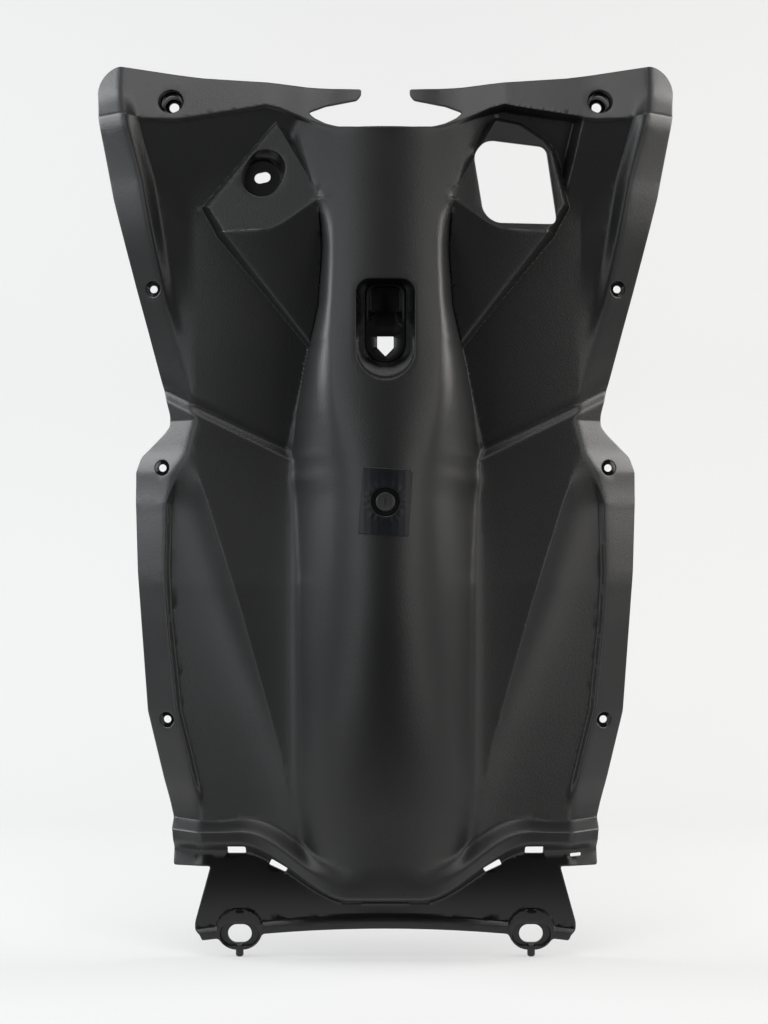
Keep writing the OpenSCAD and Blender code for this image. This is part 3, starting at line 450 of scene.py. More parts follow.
def pocket_ring(w, low, high, r, count=28):
    """Ring of the hook pocket, round at the foot and with small corners at the head."""
    half = w / 2
    foot = [[half * math.cos(a), low + half + half * math.sin(a)]
            for a in np.linspace(math.pi, 2 * math.pi, count)]
    right = [[half, z] for z in np.linspace(low + half, high - r, 16)[1:-1]]
    head_r = [[half - r + r * math.cos(a), high - r + r * math.sin(a)]
              for a in np.linspace(0, math.pi / 2, 8)]
    top = [[x, high] for x in np.linspace(half - r, r - half, 12)[1:-1]]
    head_l = [[r - half + r * math.cos(a), high - r + r * math.sin(a)]
              for a in np.linspace(math.pi / 2, math.pi, 8)]
    left = [[-half, z] for z in np.linspace(high - r, low + half, 16)[1:-1]]
    return np.array(foot + right + head_r + top + head_l + left)


def panel_outline(spacing):
    """Counter-clockwise outline of the whole moulding."""
    foot = [[u, foot_z(u)] for u in np.arange(0, 131.2, 0.5)]
    foot = [p for p in foot if pad_distance(p[0], p[1]) > 0.1]
    half = (PAD_TOP + PAD_FOOT) / 2
    bottom = []
    for a in np.arange(180, 361, 3):
        c = math.cos(math.radians(a))
        p = [BOLT_U + math.copysign(PAD_W / 2 - half, c) + half * c,
             (PAD_TOP - PAD_FOOT) / 2 + half * math.sin(math.radians(a))]
        if p[1] < foot_z(p[0]) - 0.1:
            bottom.append(p)
    right = [p for p in foot if p[0] < BOLT_U] + bottom + [p for p in foot if p[0] > BOLT_U]
    right += [[APRON_W - 4, -1], [APRON_W, 3], [APRON_W, 8], [APRON_W - 11, 48], [FOOT_W, 48]]
    right += [[float(outline_u(z)), z] for z in np.arange(50, CORNER_Z - CORNER_R, 2.0)]
    right += [[CORNER_W - CORNER_R + CORNER_R * math.cos(a), CORNER_Z - CORNER_R + CORNER_R * math.sin(a)]
              for a in np.radians(np.arange(0, 91, 6))]
    right += [[u, float(top_z(u))] for u in np.arange(CORNER_W - CORNER_R - 2, 18, -2.0)]
    right += NOTCH
    right = np.array(right, float)
    left = right[::-1][:-1] * [-1, 1]
    whole = softened(resampled(np.vstack([right, left]), 0.7), 4)
    return resampled(whole, spacing)


# Sheets of triangles


def refined_places(level, low, high, coarse, halvings, slack):
    """Places of a grid whose cells are halved where flat ones would miss the surface by over a slack."""
    fine = coarse / 2 ** halvings
    step = 2 ** halvings
    nx = int(math.ceil((high[0] - low[0]) / coarse))
    nz = int(math.ceil((high[1] - low[1]) / coarse))
    a, b = np.meshgrid(np.arange(nx) * step, np.arange(nz) * step)
    cells = np.stack([a.ravel(), b.ravel()], 1)
    corners = []
    while True:
        h = {(i, j): level(low[0] + (cells[:, 0] + i * step / 2) * fine,
                           low[1] + (cells[:, 1] + j * step / 2) * fine)
             for i in range(3) for j in range(3)}
        turn = np.zeros(len(cells))
        for k in range(3):
            turn = np.maximum(turn, np.abs(h[1, k] - (h[0, k] + h[2, k]) / 2))
            turn = np.maximum(turn, np.abs(h[k, 1] - (h[k, 0] + h[k, 2]) / 2))
        split = (turn > slack) if step > 1 else np.zeros(len(cells), bool)
        kept = cells[~split]
        for i, j in ((0, 0), (1, 0), (0, 1), (1, 1)):
            corners.append(kept + [i * step, j * step])
        if not split.any():
            break
        cells = cells[split]
        step //= 2
        cells = np.vstack([cells + [i * step, j * step] for i in (0, 1) for j in (0, 1)])
    unique = np.unique(np.vstack(corners), axis=0)
    return unique * fine + np.asarray(low, float)


def inside(ring, places):
    """Which places lie inside a closed ring."""
    result = np.zeros(len(places), bool)
    low, high = ring.min(0), ring.max(0)
    near = np.flatnonzero(((places > low) & (places < high)).all(1))
    if len(near) == 0:
        return result
    p = places[near]
    a, b = ring, np.roll(ring, -1, 0)
    hits = np.zeros(len(near), int)
    for (ax, az), (bx, bz) in zip(a, b):
        if az == bz:
            continue
        crosses = (az > p[:, 1]) != (bz > p[:, 1])
        hits += crosses & (p[:, 0] < (bx - ax) * (p[:, 1] - az) / (bz - az) + ax)
    result[near] = hits % 2 == 1
    return result


class Sheet:
    """Places with stand-offs that are joined into triangles and lifted."""

    def __init__(self):
        self.places, self.levels, self.edges, self.count = [], [], [], 0
        self.areas, self.holes = [], []

    def add(self, places, levels):
        """Adds single places and returns the number of the first."""
        first = self.count
        self.places.append(np.asarray(places, float))
        self.levels.append(np.broadcast_to(np.asarray(levels, float), len(places)))
        self.count += len(places)
        return first

    def ring(self, places, levels):
        """Adds a closed ring whose sides stay edges of the triangles."""
        first = self.add(places, levels)
        n = len(places)
        self.edges += [(first + i, first + (i + 1) % n) for i in range(n)]
        return first

    def cut(self, places, levels):
        """Adds a ring round a hole."""
        self.holes.append((self.ring(places, levels), len(places), places))

    def well(self, rings, hole=False):
        """Adds nested rings from the outermost inwards, the last one round a hole if there is one."""
        self.areas.append(rings[0][0])
        for places, levels in rings[:-1]:
            self.ring(places, levels)
        if hole:
            self.cut(*rings[-1])
        else:
            self.ring(*rings[-1])

    def fill(self, places, level, clear):
        """Adds places that lie clear of every ring and outside the wells."""
        tree = KDTree(self.count)
        for i, p in enumerate(np.vstack(self.places)):
            tree.insert((p[0], p[1], 0), i)
        tree.balance()
        places = places[inside(self.places[0], places)]
        levels = level(*places.T)
        keep = np.array([tree.find((p[0], p[1], 0))[2] > clear for p in places])
        for area in self.areas:
            keep &= ~inside(area, places)
        self.add(places[keep], levels[keep])

    def triangles(self):
        """Joins the places inside the outermost ring and outside the holes."""
        places = np.vstack(self.places)
        levels = np.concatenate(self.levels)
        points = [Vector(p) for p in places]
        out, _, faces, source, _, _ = delaunay_2d_cdt(points, self.edges, [], 0, 1e-4, True)
        flat = np.array([(p[0], p[1]) for p in out])
        first = np.array([s[0] if len(s) else -1 for s in source])
        if (first < 0).any():
            crossing = sorted({(round(p[0]), round(p[1])) for p in flat[first < 0]})
            raise RuntimeError(f"rings of the moulding cross each other near {crossing[:40]}")
        height = levels[first]
        tris = np.array([list(f) for f in faces])
        middle = flat[tris].mean(1)
        on_outline = first < len(self.places[0])
        across = on_outline[tris].sum(1) >= 2
        keep = np.ones(len(tris), bool)
        keep[across] = inside(grown(self.places[0], -0.06), middle[across])
        corners = flat[tris]
        sides = corners - np.roll(corners, 1, 1)
        keep[across] &= np.hypot(sides[..., 0], sides[..., 1]).max(1)[across] < LONGEST_SIDE
        for _, _, ring in self.holes:
            keep &= ~inside(ring, middle)
        tris = tris[keep]
        e1, e2 = flat[tris[:, 1]] - flat[tris[:, 0]], flat[tris[:, 2]] - flat[tris[:, 0]]
        clockwise = e1[:, 0] * e2[:, 1] - e1[:, 1] * e2[:, 0] < 0
        tris[clockwise] = tris[clockwise][:, ::-1]
        place_of = {}
        for new, olds in enumerate(source):
            for old in olds:
                place_of[old] = new
        return flat, height, tris, place_of


# Parts of the moulding


class Skins:
    """Front sheet and back sheet of the moulding, one wall apart."""

    def __init__(self, wall):
        self.front, self.back, self.wall = Sheet(), Sheet(), wall

    def behind(self, x, z):
        """Stand-off of the back at places across and up."""
        return back_level(x, z, self.wall)


def spot(level, x, z):
    """Stand-off of a surface at one place."""
    return float(level(np.array([float(x)]), np.array([float(z)]))[0])


def on(level, places, drop=0.0):
    """Ring that lies a drop below a surface."""
    return places, level(*places.T) - drop


def flat_ring(places, height):
    """Ring at one stand-off."""
    return places, np.full(len(places), height)


def rim(ring, level, radius):
    """Rounded rim outside a ring: the ring itself last, lower than the surface by the radius."""
    rings = []
    for share in (1.0, 0.62, 0.3, 0.08):
        drop = radius * (1 - math.sqrt(max(0, 1 - (1 - share) ** 2))) if share < 1 else 0
        rings.append(on(level, grown(ring, radius * share), drop))
    rings.append(on(level, ring, radius))
    return rings


def outer_edge(skins, edge):
    """Outline of both skins, with loops inside it that round the front's edge."""
    outline = panel_outline(1.5)
    x, z = outline.T
    skins.front.ring(outline, front_level(x, z) - edge * 0.9)
    skins.back.ring(outline, skins.behind(x, z) + 0.3)
    rims = KDTree(len(outline))
    for i, p in enumerate(outline):
        rims.insert((p[0], p[1], 0), i)
    rims.balance()

    def clear_loop(inwards, clearance):
        """Loop moved inwards, without the places that come near the outline in its corners."""
        loop = grown(outline, -inwards)
        clear = np.array([rims.find((p[0], p[1], 0))[2] > clearance for p in loop])
        return loop[clear & inside(outline, loop)]

    for share in (0.12, 0.4, 0.8, 1.3):
        drop = edge * (1 - math.sqrt(max(0, 1 - max(0, 1 - share) ** 2)))
        skins.front.add(*on(front_level, clear_loop(edge * share, edge * share * 0.9), drop))
    skins.back.add(*on(skins.behind, clear_loop(0.5, 0.45)))


def screw_cup(skins, x, z, profile):
    """Round cup from its rounded rim down to its screw hole, and the boss behind it."""
    rings = rim(circle(x, z, profile[0][0]), front_level, CUP_RIM)
    base = spot(front_level, x, z)
    for r, depth in profile:
        places, surface = on(front_level, circle(x, z, r), CUP_RIM + 0.02)
        rings.append((places, np.minimum(base - depth, surface)))
    skins.front.well(rings, hole=True)

    outer = profile[0][0] + skins.wall
    floor = spot(stand, x, z) - profile[-2][1] - skins.wall
    back = [on(skins.behind, circle(x, z, outer + 0.8)), on(skins.behind, circle(x, z, outer))]
    for r, height in ((outer - 0.2, floor + 0.5), (outer - 0.7, floor)):
        places, surface = on(skins.behind, circle(x, z, r))
        back.append((places, np.minimum(surface, height)))
    back.append(flat_ring(rings[-1][0], floor))
    skins.back.well(back, hole=True)


def bolt_seat(skins, x):
    """Sunk seat and slot of a floor bolt."""
    seat, slot = stadium(x, 0, SEAT_W, SEAT_H), stadium(x, 0, SLOT_W, SLOT_H)
    rings = rim(seat, front_level, 0.5)
    rings += [flat_ring(grown(seat, -0.15), ORIGIN_D + 0.5), flat_ring(grown(seat, -0.5), ORIGIN_D)]
    rings += [flat_ring(grown(slot, 0.3), ORIGIN_D), flat_ring(slot, ORIGIN_D - 0.3)]
    skins.front.well(rings, hole=True)
    skins.back.well([on(skins.behind, grown(slot, 0.6)), on(skins.behind, slot)], hole=True)


def through_slot(skins, ring, rounding, drop):
    """Slot through the wall with a softened front edge."""
    skins.front.well([on(front_level, grown(ring, rounding)), on(front_level, ring, drop)], hole=True)
    skins.back.well([on(skins.behind, ring)], hole=True)


def clip_recess(skins, side):
    """Shallow recess of a clip under the lip."""
    clip = rounded_box(side * 24, float(lip_z(24)) - SEAM_DROP + 1.75, 15, 3.5, 0.6)
    inner = grown(clip, -0.25)
    skins.front.well([on(front_level, clip), (inner, np.minimum(front_level(*inner.T), APRON_D - 1))])


def switch_opening(skins):
    """Opening in the right pod, with a rounded rim."""
    opening = switch_ring()
    inner = grown(opening, -0.1)
    skins.front.well(rim(opening, front_level, 0.9) + [(inner, front_level(*opening.T) - 1.6)], hole=True)
    skins.back.well([on(skins.behind, grown(opening, 0.8)), on(skins.behind, inner)], hole=True)


def pocket_rings(depth, wall):
    """Rings of the hook pocket and its floor's stand-off, grown by a wall for its back."""
    floor = spot(stand, 0, (POCKET_FOOT + POCKET_HEAD) / 2) - depth - wall
    rings = []
    for t in np.linspace(0, 1, 11)[1:]:
        inwards = t if wall else t ** 0.9
        places = pocket_ring(POCKET_W + 2 * wall - 13 * inwards, POCKET_FOOT - wall + 14 * inwards,
                             POCKET_HEAD + wall - inwards, POCKET_CORNER + wall - 3 * inwards)
        surface = stand(places[:, 0], places[:, 1])
        deep = 1 - (1 - t) ** 1.15
        rings.append((places, surface * (1 - deep) + floor * deep))
    return rings, floor


def hook_pocket(skins, depth, end_drop):
    """Hook pocket with a bead round its floor, a deeper upper end and a five-sided hole."""
    hook = resampled(np.array(HOOK), 1.0)
    rings, floor = pocket_rings(depth, 0)
    line = rings[-1][0]
    for inwards, lift in ((0.25, 0.5), (0.7, 0.5), (1.0, 0)):
        rings.append(flat_ring(grown(line, -inwards), floor + lift))
    mouth = pocket_ring(POCKET_W, POCKET_FOOT, POCKET_HEAD, POCKET_CORNER)
    skins.front.well(rim(mouth, front_level, 0.8) + rings)
    head = rounded_box(0, 445.5, 24, 28, 6, spacing=1.2)
    rise = np.clip((head[:, 1] - 431) / 6, 0, 1)
    skins.front.ring(head, floor - 0.2 * rise)
    skins.front.ring(*flat_ring(rounded_box(0, 450, 19.5, 17.5, 3, spacing=1.2), floor - end_drop))
    skins.front.ring(*flat_ring(grown(hook, 0.35), floor))
    skins.front.cut(*flat_ring(hook, floor - 0.3))

    wall = skins.wall
    rings, floor = pocket_rings(depth, wall)
    skirt = pocket_ring(POCKET_W + 2 * wall, POCKET_FOOT - wall, POCKET_HEAD + wall, POCKET_CORNER + wall)
    back = [on(skins.behind, grown(skirt, 0.6)), on(skins.behind, skirt)]
    back += [(places, np.minimum(level - 0.05, skins.behind(*places.T))) for places, level in rings]
    skins.back.well(back)
    skins.back.ring(*flat_ring(rounded_box(0, 445.5, 29, 33, 7, spacing=2), floor))
    skins.back.ring(*flat_ring(rounded_box(0, 447.5, 26.5, 27, 6, spacing=2), floor - end_drop))
    skins.back.cut(*flat_ring(hook, floor))


def lock_cup(sheet, level, depth, wall):
    """Leaning cup in the left pod, with its slanting slot; a wall makes its back."""
    centre, lean, count = np.array(LOCK_CENTRE), np.array(LOCK_LEAN), 56
    floor = spot(stand, *centre) - depth - wall
    away = circle(0, 0, 1.0, count)
    leaning = ease(-0.5, 0.5, away @ lean / np.hypot(*lean))[:, None]
    mouth = centre + away * (LOCK_R + 0.4 + wall) + lean * leaning
    flat = centre + away * (LOCK_R - 0.9 + wall)
    rings = [on(level, grown(mouth, 0.6)), on(level, mouth)] if wall else rim(mouth, level, 1.0)
    top = rings[-1][1]
    for t in (0.12, 0.3, 0.5, 0.7, 0.86, 0.95, 1.0):
        inwards = 1 - (1 - t) ** 1.6
        rings.append((mouth * (1 - inwards) + flat * inwards, top * (1 - t) + floor * t))
    rings.append(flat_ring(centre + away * (LOCK_R - 1.6 + wall), floor - 0.05))
    slot = stadium(LOCK_CENTRE[0], LOCK_CENTRE[1] + 1, 11.4, 7.4, 12)
    rings.append(flat_ring(grown(slot, 0.35), floor - 0.05))
    rings.append(flat_ring(slot, floor - (0 if wall else 0.4)))
    sheet.well(rings, hole=True)


def plug_seat(skins):
    """Round seat of the push-in plug, its hole and the boss behind it."""
    base = spot(stand, 0, PLUG_Z)
    rings = rim(circle(0, PLUG_Z, 10, PLUG_COUNT), front_level, 0.4)
    for r, drop in ((9.9, 1.9), (9.6, 2.2), (4.3, 2.2), (4.0, 2.4)):
        rings.append(flat_ring(circle(0, PLUG_Z, r, PLUG_COUNT), base - drop))
    skins.front.well(rings, hole=True)
    back = [on(skins.behind, circle(0, PLUG_Z, r, PLUG_COUNT)) for r in (13.2, 12.5)]
    back += [flat_ring(circle(0, PLUG_Z, r, PLUG_COUNT), base - 7.2) for r in (12.4, 4.0)]
    skins.back.well(back, hole=True)


def shield_sheets(settings):
    """Front sheet and back sheet of the moulding."""
    skins = Skins(settings.wall / MM)
    outer_edge(skins, settings.edge_round / MM)
    for side in (-1, 1):
        for u, z, profile in SCREWS:
            screw_cup(skins, side * u, z, profile)
        bolt_seat(skins, side * BOLT_U)
        for u, turn in ((106, 0), (76, 25)):
            at_z = float(lip_z(u)) - SEAM_DROP * 0.75
            through_slot(skins, rounded_box(side * u, at_z, 13, 5.5, 0.7, side * turn), 0.35, 0.25)
        clip_recess(skins, side)
    through_slot(skins, rounded_box(136, LIP_SIDE_Z - SEAM_DROP - 2, 8, 2.5, 0.5, spacing=0.7), 0.3, 0.2)
    switch_opening(skins)
    hook_pocket(skins, settings.pocket_depth / MM, settings.pocket_end_drop / MM)
    lock_cup(skins.front, front_level, settings.lock_depth / MM, 0)
    lock_cup(skins.back, skins.behind, settings.lock_depth / MM, skins.wall)
    plug_seat(skins)

    places = refined_places(front_level, LOW_CORNER, HIGH_CORNER, *FRONT_GRID)
    skins.front.fill(places, front_level, FRONT_CLEAR)
    places = refined_places(skins.behind, LOW_CORNER, HIGH_CORNER, *BACK_GRID)
    skins.back.fill(places, skins.behind, BACK_CLEAR)
    return skins.front, skins.back


def smooth_mesh(name, verts, faces, sharp_degrees):
    """Smooth mesh that keeps edges over an angle sharp."""
    mesh = bpy.data.meshes.new(name)
    mesh.from_pydata(verts, [], faces)
    mesh.validate()
    mesh.shade_smooth()
    mesh.set_sharp_from_angle(angle=math.radians(sharp_degrees))
    return mesh


def peg_mesh(x):
    """Locating peg under a bolt pad, as places, stand-offs and faces."""
    profile = [(2.8, -7.0), (2.8, -14.6), (2.5, -15.3), (1.8, -15.9), (0, -16.0)]
    count = 24
    verts, faces = [], []
    for r, z in profile[:-1]:
        for k in range(count):
            a = 2 * math.pi * k / count
            verts.append((x + r * math.cos(a), APRON_D + r * math.sin(a), z))
    verts.append((x, APRON_D, profile[-1][1]))
    verts.append((x, APRON_D, profile[0][1]))
    rows = len(profile) - 1
    for j in range(rows - 1):
        for k in range(count):
            a, b = j * count + k, j * count + (k + 1) % count
            faces.append((a, a + count, b + count, b))
    tip, root = rows * count, rows * count + 1
    for k in range(count):
        a, b = (rows - 1) * count + k, (rows - 1) * count + (k + 1) % count
        faces.append((a, tip, b))
        faces.append((k, (k + 1) % count, root))
    return verts, faces


def shield_mesh(settings):
    """Closed mesh of the moulding with its finish written on its points."""
    front_sheet, back_sheet = shield_sheets(settings)
    flat_f, level_f, tris_f, of_f = front_sheet.triangles()
    flat_b, level_b, tris_b, of_b = back_sheet.triangles()
    n = len(flat_f)
    verts = np.vstack([
        np.stack([flat_f[:, 0], ORIGIN_D - level_f, flat_f[:, 1]], 1),
        np.stack([flat_b[:, 0], ORIGIN_D - level_b, flat_b[:, 1]], 1),
    ]) * MM
    faces = [tuple(t) for t in tris_f.tolist()]
    faces += [tuple(t) for t in (tris_b[:, ::-1] + n).tolist()]
    count = len(front_sheet.places[0])
    loops = [(0, 0, count, False)]
    for a, b in zip(front_sheet.holes, back_sheet.holes):
        if a[1] != b[1]:
            raise RuntimeError("a hole has rings of different lengths in the front and the back")
        loops.append((a[0], b[0], a[1], True))
    for front_first, back_first, size, reverse in loops:
        for i in range(size):
            j = (i + 1) % size
            if reverse:
                i, j = j, i
            faces.append((of_f[front_first + i], n + of_b[back_first + i],
                          n + of_b[back_first + j], of_f[front_first + j]))
    peg_verts = []
    for side in (-1, 1):
        pegs, peg_faces = peg_mesh(side * BOLT_U)
        start = len(verts) + len(peg_verts)
        peg_verts += [(px * MM, (ORIGIN_D - d) * MM, pz * MM) for px, d, pz in pegs]
        faces += [tuple(start + k for k in f) for f in peg_faces]
    verts = np.vstack([verts, peg_verts])
    mesh = smooth_mesh("moulding", verts.tolist(), faces, 42)
    write_finish(mesh)
    return mesh


def write_finish(mesh):
    """Writes how polished each point is, and how much it stands out as a convex edge; the material paints
    these edges lighter, partly as rubbed wear and partly as painted highlight.
    """
    co = np.zeros(len(mesh.vertices) * 3)
    mesh.vertices.foreach_get("co", co)
    co = co.reshape(-1, 3) / MM
    x, z = co[:, 0], co[:, 2]
    u = np.abs(x)
    polished = ease(seam_z(u) + 3.5, seam_z(u) + 1.5, z)
    polished *= ((u < APRON_W + 1) | (z < 48)) * ease(foot_z(u) + RIB_H, foot_z(u) + RIB_H + 3, z)
    behind_skin = (ORIGIN_D - co[:, 1]) < front_level(x, z) - 1.0
    polished = np.maximum(polished, 0.75 * behind_skin)
    # Convexity of the front, which the material paints lighter: partly edge wear, partly painted highlight
    # where light catches the edges.
    h = 2.0
    twice = 2 * stand(x, z)
    ridge = (twice - stand(x + h, z) - stand(x - h, z)) + (twice - stand(x, z + h) - stand(x, z - h))
    ridge = np.clip(ridge / 2.0, 0, 1) * (1 - behind_skin)
    for name, values in (("polished", polished), ("ridge", ridge)):
        layer = mesh.attributes.new(name, "FLOAT", "POINT")
        layer.data.foreach_set("value", values.astype(np.float32))


# Materials


def new_tree(name, kind, inputs=(), outputs=()):
    """Node group with named inputs and outputs."""
    tree = bpy.data.node_groups.new(name, kind)
    for label, socket, default in inputs:
        made = tree.interface.new_socket(name=label, in_out="INPUT", socket_type=socket)
        if default is not None:
            made.default_value = default
    for label, socket in outputs:
        tree.interface.new_socket(name=label, in_out="OUTPUT", socket_type=socket)
    return tree


def node(tree, kind, inputs=None, **settings):
    """Adds a node, sets its settings and fills or links its inputs."""
    made = tree.nodes.new(kind)
    for key, value in settings.items():
        setattr(made, key, value)
    for key, value in (inputs or {}).items():
        socket = made.inputs[key]
        if isinstance(value, bpy.types.NodeSocket):
            tree.links.new(value, socket)
        else:
            socket.default_value = value
    return made


def math_node(tree, operation, *values):
    """Adds a Math node and returns its output."""
    return node(tree, "ShaderNodeMath", dict(enumerate(values)), operation=operation).outputs[0]


def grain_group():
    """Grain of the moulded skin: fine pebbles over a slow unevenness."""
    tree = new_tree("Moulded grain", "ShaderNodeTree",
                    [("Vector", "NodeSocketVector", None), ("Pebbles Per Metre", "NodeSocketFloat", 900.0),
                     ("Unevenness Per Metre", "NodeSocketFloat", 14.0), ("Polish", "NodeSocketFloat", 0.0)],
                    [("Height", "NodeSocketFloat"), ("Tone", "NodeSocketFloat")])
    enter = tree.nodes.new("NodeGroupInput").outputs
    leave = tree.nodes.new("NodeGroupOutput")
    place, scale = enter["Vector"], enter["Pebbles Per Metre"]
    pebbles = node(tree, "ShaderNodeTexVoronoi", {"Vector": place, "Scale": scale})
    fine = node(tree, "ShaderNodeTexNoise", {"Vector": place, "Scale": scale, "Detail": 3.0})
    slow = node(tree, "ShaderNodeTexNoise", {"Vector": place, "Scale": enter["Unevenness Per Metre"],
                                             "Detail": 2.0})
    rough = math_node(tree, "MULTIPLY_ADD", pebbles.outputs["Distance"], -0.6, fine.outputs["Fac"])
    left = math_node(tree, "SUBTRACT", 1.0, enter["Polish"])
    tree.links.new(math_node(tree, "MULTIPLY", rough, left), leave.inputs["Height"])
    tree.links.new(slow.outputs["Fac"], leave.inputs["Tone"])
    return tree


def scuff_group():
    """Thin rubbed lines that run in two directions, broken up by noise."""
    tree = new_tree("Rubbed marks", "ShaderNodeTree",
                    [("Vector", "NodeSocketVector", None), ("Amount", "NodeSocketFloat", 0.5)],
                    [("Mask", "NodeSocketFloat")])
    enter = tree.nodes.new("NodeGroupInput")
    leave = tree.nodes.new("NodeGroupOutput")
    place = enter.outputs["Vector"]
    marks = []
    runs = (((0.0, 0.6, 0.2), (60.0, 60.0, 900.0), 3.0), ((0.0, -0.9, 0.1), (40.0, 40.0, 700.0), 8.0))
    for turn, scale, patches in runs:
        moved = node(tree, "ShaderNodeMapping", {"Vector": place, "Rotation": turn, "Scale": scale})
        lines = node(tree, "ShaderNodeTexNoise", {"Vector": moved.outputs[0], "Scale": 1.0, "Detail": 1.0,
                                                  "Distortion": 0.3})
        sharp = node(tree, "ShaderNodeMapRange", {"Value": lines.outputs[0], "From Min": 0.68,
                                                  "From Max": 0.76})
        where = node(tree, "ShaderNodeTexNoise", {"Vector": place, "Scale": patches, "Detail": 1.0})
        some = node(tree, "ShaderNodeMapRange", {"Value": where.outputs[0], "From Min": 0.52,
                                                 "From Max": 0.66})
        marks.append(math_node(tree, "MULTIPLY", sharp.outputs[0], some.outputs[0]))
    total = math_node(tree, "MAXIMUM", *marks)
    tree.links.new(math_node(tree, "MULTIPLY", total, enter.outputs["Amount"]), leave.inputs["Mask"])
    return tree


def group_node(tree, group, inputs):
    """Places a node group and fills its inputs."""
    return node(tree, "ShaderNodeGroup", inputs, node_tree=group)


def new_material(name):
    """Empty material with a Principled shader, its tree and its object coordinates."""
    material = bpy.data.materials.new(name)
    material.use_nodes = True
    tree = material.node_tree
    shader = tree.nodes["Principled BSDF"]
    place = tree.nodes.new("ShaderNodeTexCoord").outputs["Object"]
    return material, tree, shader, place


def blend_colour(tree, factor, a, b):
    """Mixes two colours by a factor."""
    return node(tree, "ShaderNodeMix", {0: factor, 6: a, 7: b}, data_type="RGBA").outputs[2]


def blend_value(tree, factor, a, b):
    """Mixes two numbers by a factor."""
    made = node(tree, "ShaderNodeMapRange", {"Value": factor, "To Min": a, "To Max": b})
    return made.outputs[0]


def shaded(colour, share):
    """Colour with its brightness scaled."""
    return tuple(c * share for c in colour) + (1.0,)


def shared_groups():
    """Grain and rubbed marks, made on their first use."""
    groups = bpy.data.node_groups
    return groups.get("Moulded grain") or grain_group(), groups.get("Rubbed marks") or scuff_group()


def toned(tree, skin, marks, colour, shares):
    """Colour that varies with the grain's tone and is lighter on rubbed marks."""
    dark, light, rubbed = (shaded(colour, share) for share in shares)
    plain = blend_colour(tree, skin.outputs["Tone"], dark, light)
    return blend_colour(tree, marks.outputs["Mask"], plain, rubbed)


def bumped(tree, shader, skin, strength, distance):
    """Raises the grain on a shader."""
    bump = node(tree, "ShaderNodeBump", {"Strength": strength, "Distance": distance,
                                         "Height": skin.outputs["Height"]})
    tree.links.new(bump.outputs["Normal"], shader.inputs["Normal"])


def moulding_material(settings):
    """Black plastic, grained on the panel and polished on the lower flange, with convex edges painted lighter
    as wear and as painted highlight.
    """
    grain, scuffs = shared_groups()
    material, tree, shader, place = new_material("shield_plastic")
    polished = node(tree, "ShaderNodeAttribute", attribute_name="polished").outputs["Fac"]
    ridge = node(tree, "ShaderNodeAttribute", attribute_name="ridge").outputs["Fac"]
    skin = group_node(tree, grain, {"Vector": place, "Pebbles Per Metre": settings.grain_scale,
                                    "Polish": polished})
    marks = group_node(tree, scuffs, {"Vector": place, "Amount": settings.scuffs})
    rubbed = toned(tree, skin, marks, settings.colour, (0.85, 1.15, 2.2))
    # Convex edges painted lighter: partly rubbed wear, partly painted highlight where light catches them.
    edge_wear_and_highlight = math_node(tree, "MULTIPLY", ridge, 0.35)
    worn_and_highlit = blend_colour(tree, edge_wear_and_highlight, rubbed, shaded(settings.colour, 2.0))
    final = blend_colour(tree, polished, worn_and_highlit, shaded(settings.colour, 0.25))
    tree.links.new(final, shader.inputs["Base Color"])
    rough = blend_value(tree, skin.outputs["Tone"], settings.roughness - 0.04, settings.roughness + 0.04)
    rough = math_node(tree, "MULTIPLY_ADD", polished, -0.20, rough)
    rough = math_node(tree, "MULTIPLY_ADD", marks.outputs["Mask"], -0.08, rough)
    tree.links.new(rough, shader.inputs["Roughness"])
    bumped(tree, shader, skin, 1.0, settings.grain_depth)
    return material


def small_piece_material(name, colour, grain_scales, scuff_share, shares, roughness, bump):
    """Plastic of a small piece, with its own grain and rubbed marks."""
    grain, scuffs = shared_groups()
    material, tree, shader, place = new_material(name)
    skin = group_node(tree, grain, {"Vector": place, "Pebbles Per Metre": grain_scales[0],
                                    "Unevenness Per Metre": grain_scales[1]})
    marks = group_node(tree, scuffs, {"Vector": place, "Amount": scuff_share})
    tree.links.new(toned(tree, skin, marks, colour, shares), shader.inputs["Base Color"])
    tree.links.new(blend_value(tree, skin.outputs["Tone"], *roughness), shader.inputs["Roughness"])
    bumped(tree, shader, skin, *bump)
    return material


def film_material(settings):
    """Smooth dark film with faint creases."""
    material = small_piece_material("film", settings.colour, (260.0, 90.0), 0.4, (0.8, 1.2, 1.8),
                                    (0.34, 0.44), (0.5, 0.00006))
    material.node_tree.nodes["Principled BSDF"].inputs["Specular IOR Level"].default_value = 0.3
    return material


def plug_material(settings):
    """Plain dark plastic with a fine spark-eroded grain."""
    return small_piece_material("plug_plastic", settings.colour, (2200.0, 120.0), 0.5, (0.85, 1.2, 1.7),
                                (0.38, 0.5), (0.6, 0.00005))


def finish_piece(context, name, mesh, material, cad_node):
    """Puts a piece in the scene with its material and ties it to the frame."""
    piece = bpy.data.objects.new(name, mesh)
    context.scene.collection.objects.link(piece)
    mesh.materials.clear()
    mesh.materials.append(material)
    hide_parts(cad_node)
    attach(piece, "root")
    return piece


# Film and plug


def joined(tree, x, y, z):
    """Vector of three numbers."""
    parts = {key: value for key, value in zip("XYZ", (x, y, z)) if value is not None}
    return node(tree, "ShaderNodeCombineXYZ", parts).outputs[0]


def curve_node(tree, value, points):
    """Value led through a curve of straight lines."""
    curve = node(tree, "ShaderNodeFloatCurve", {"Value": value})
    line = curve.mapping.curves[0]
    for _ in range(len(points) - 2):
        line.points.new(0.5, 0.5)
    for point, place in zip(line.points, points):
        point.location = place
        point.handle_type = "VECTOR"
    curve.mapping.update()
    return curve.outputs[0]


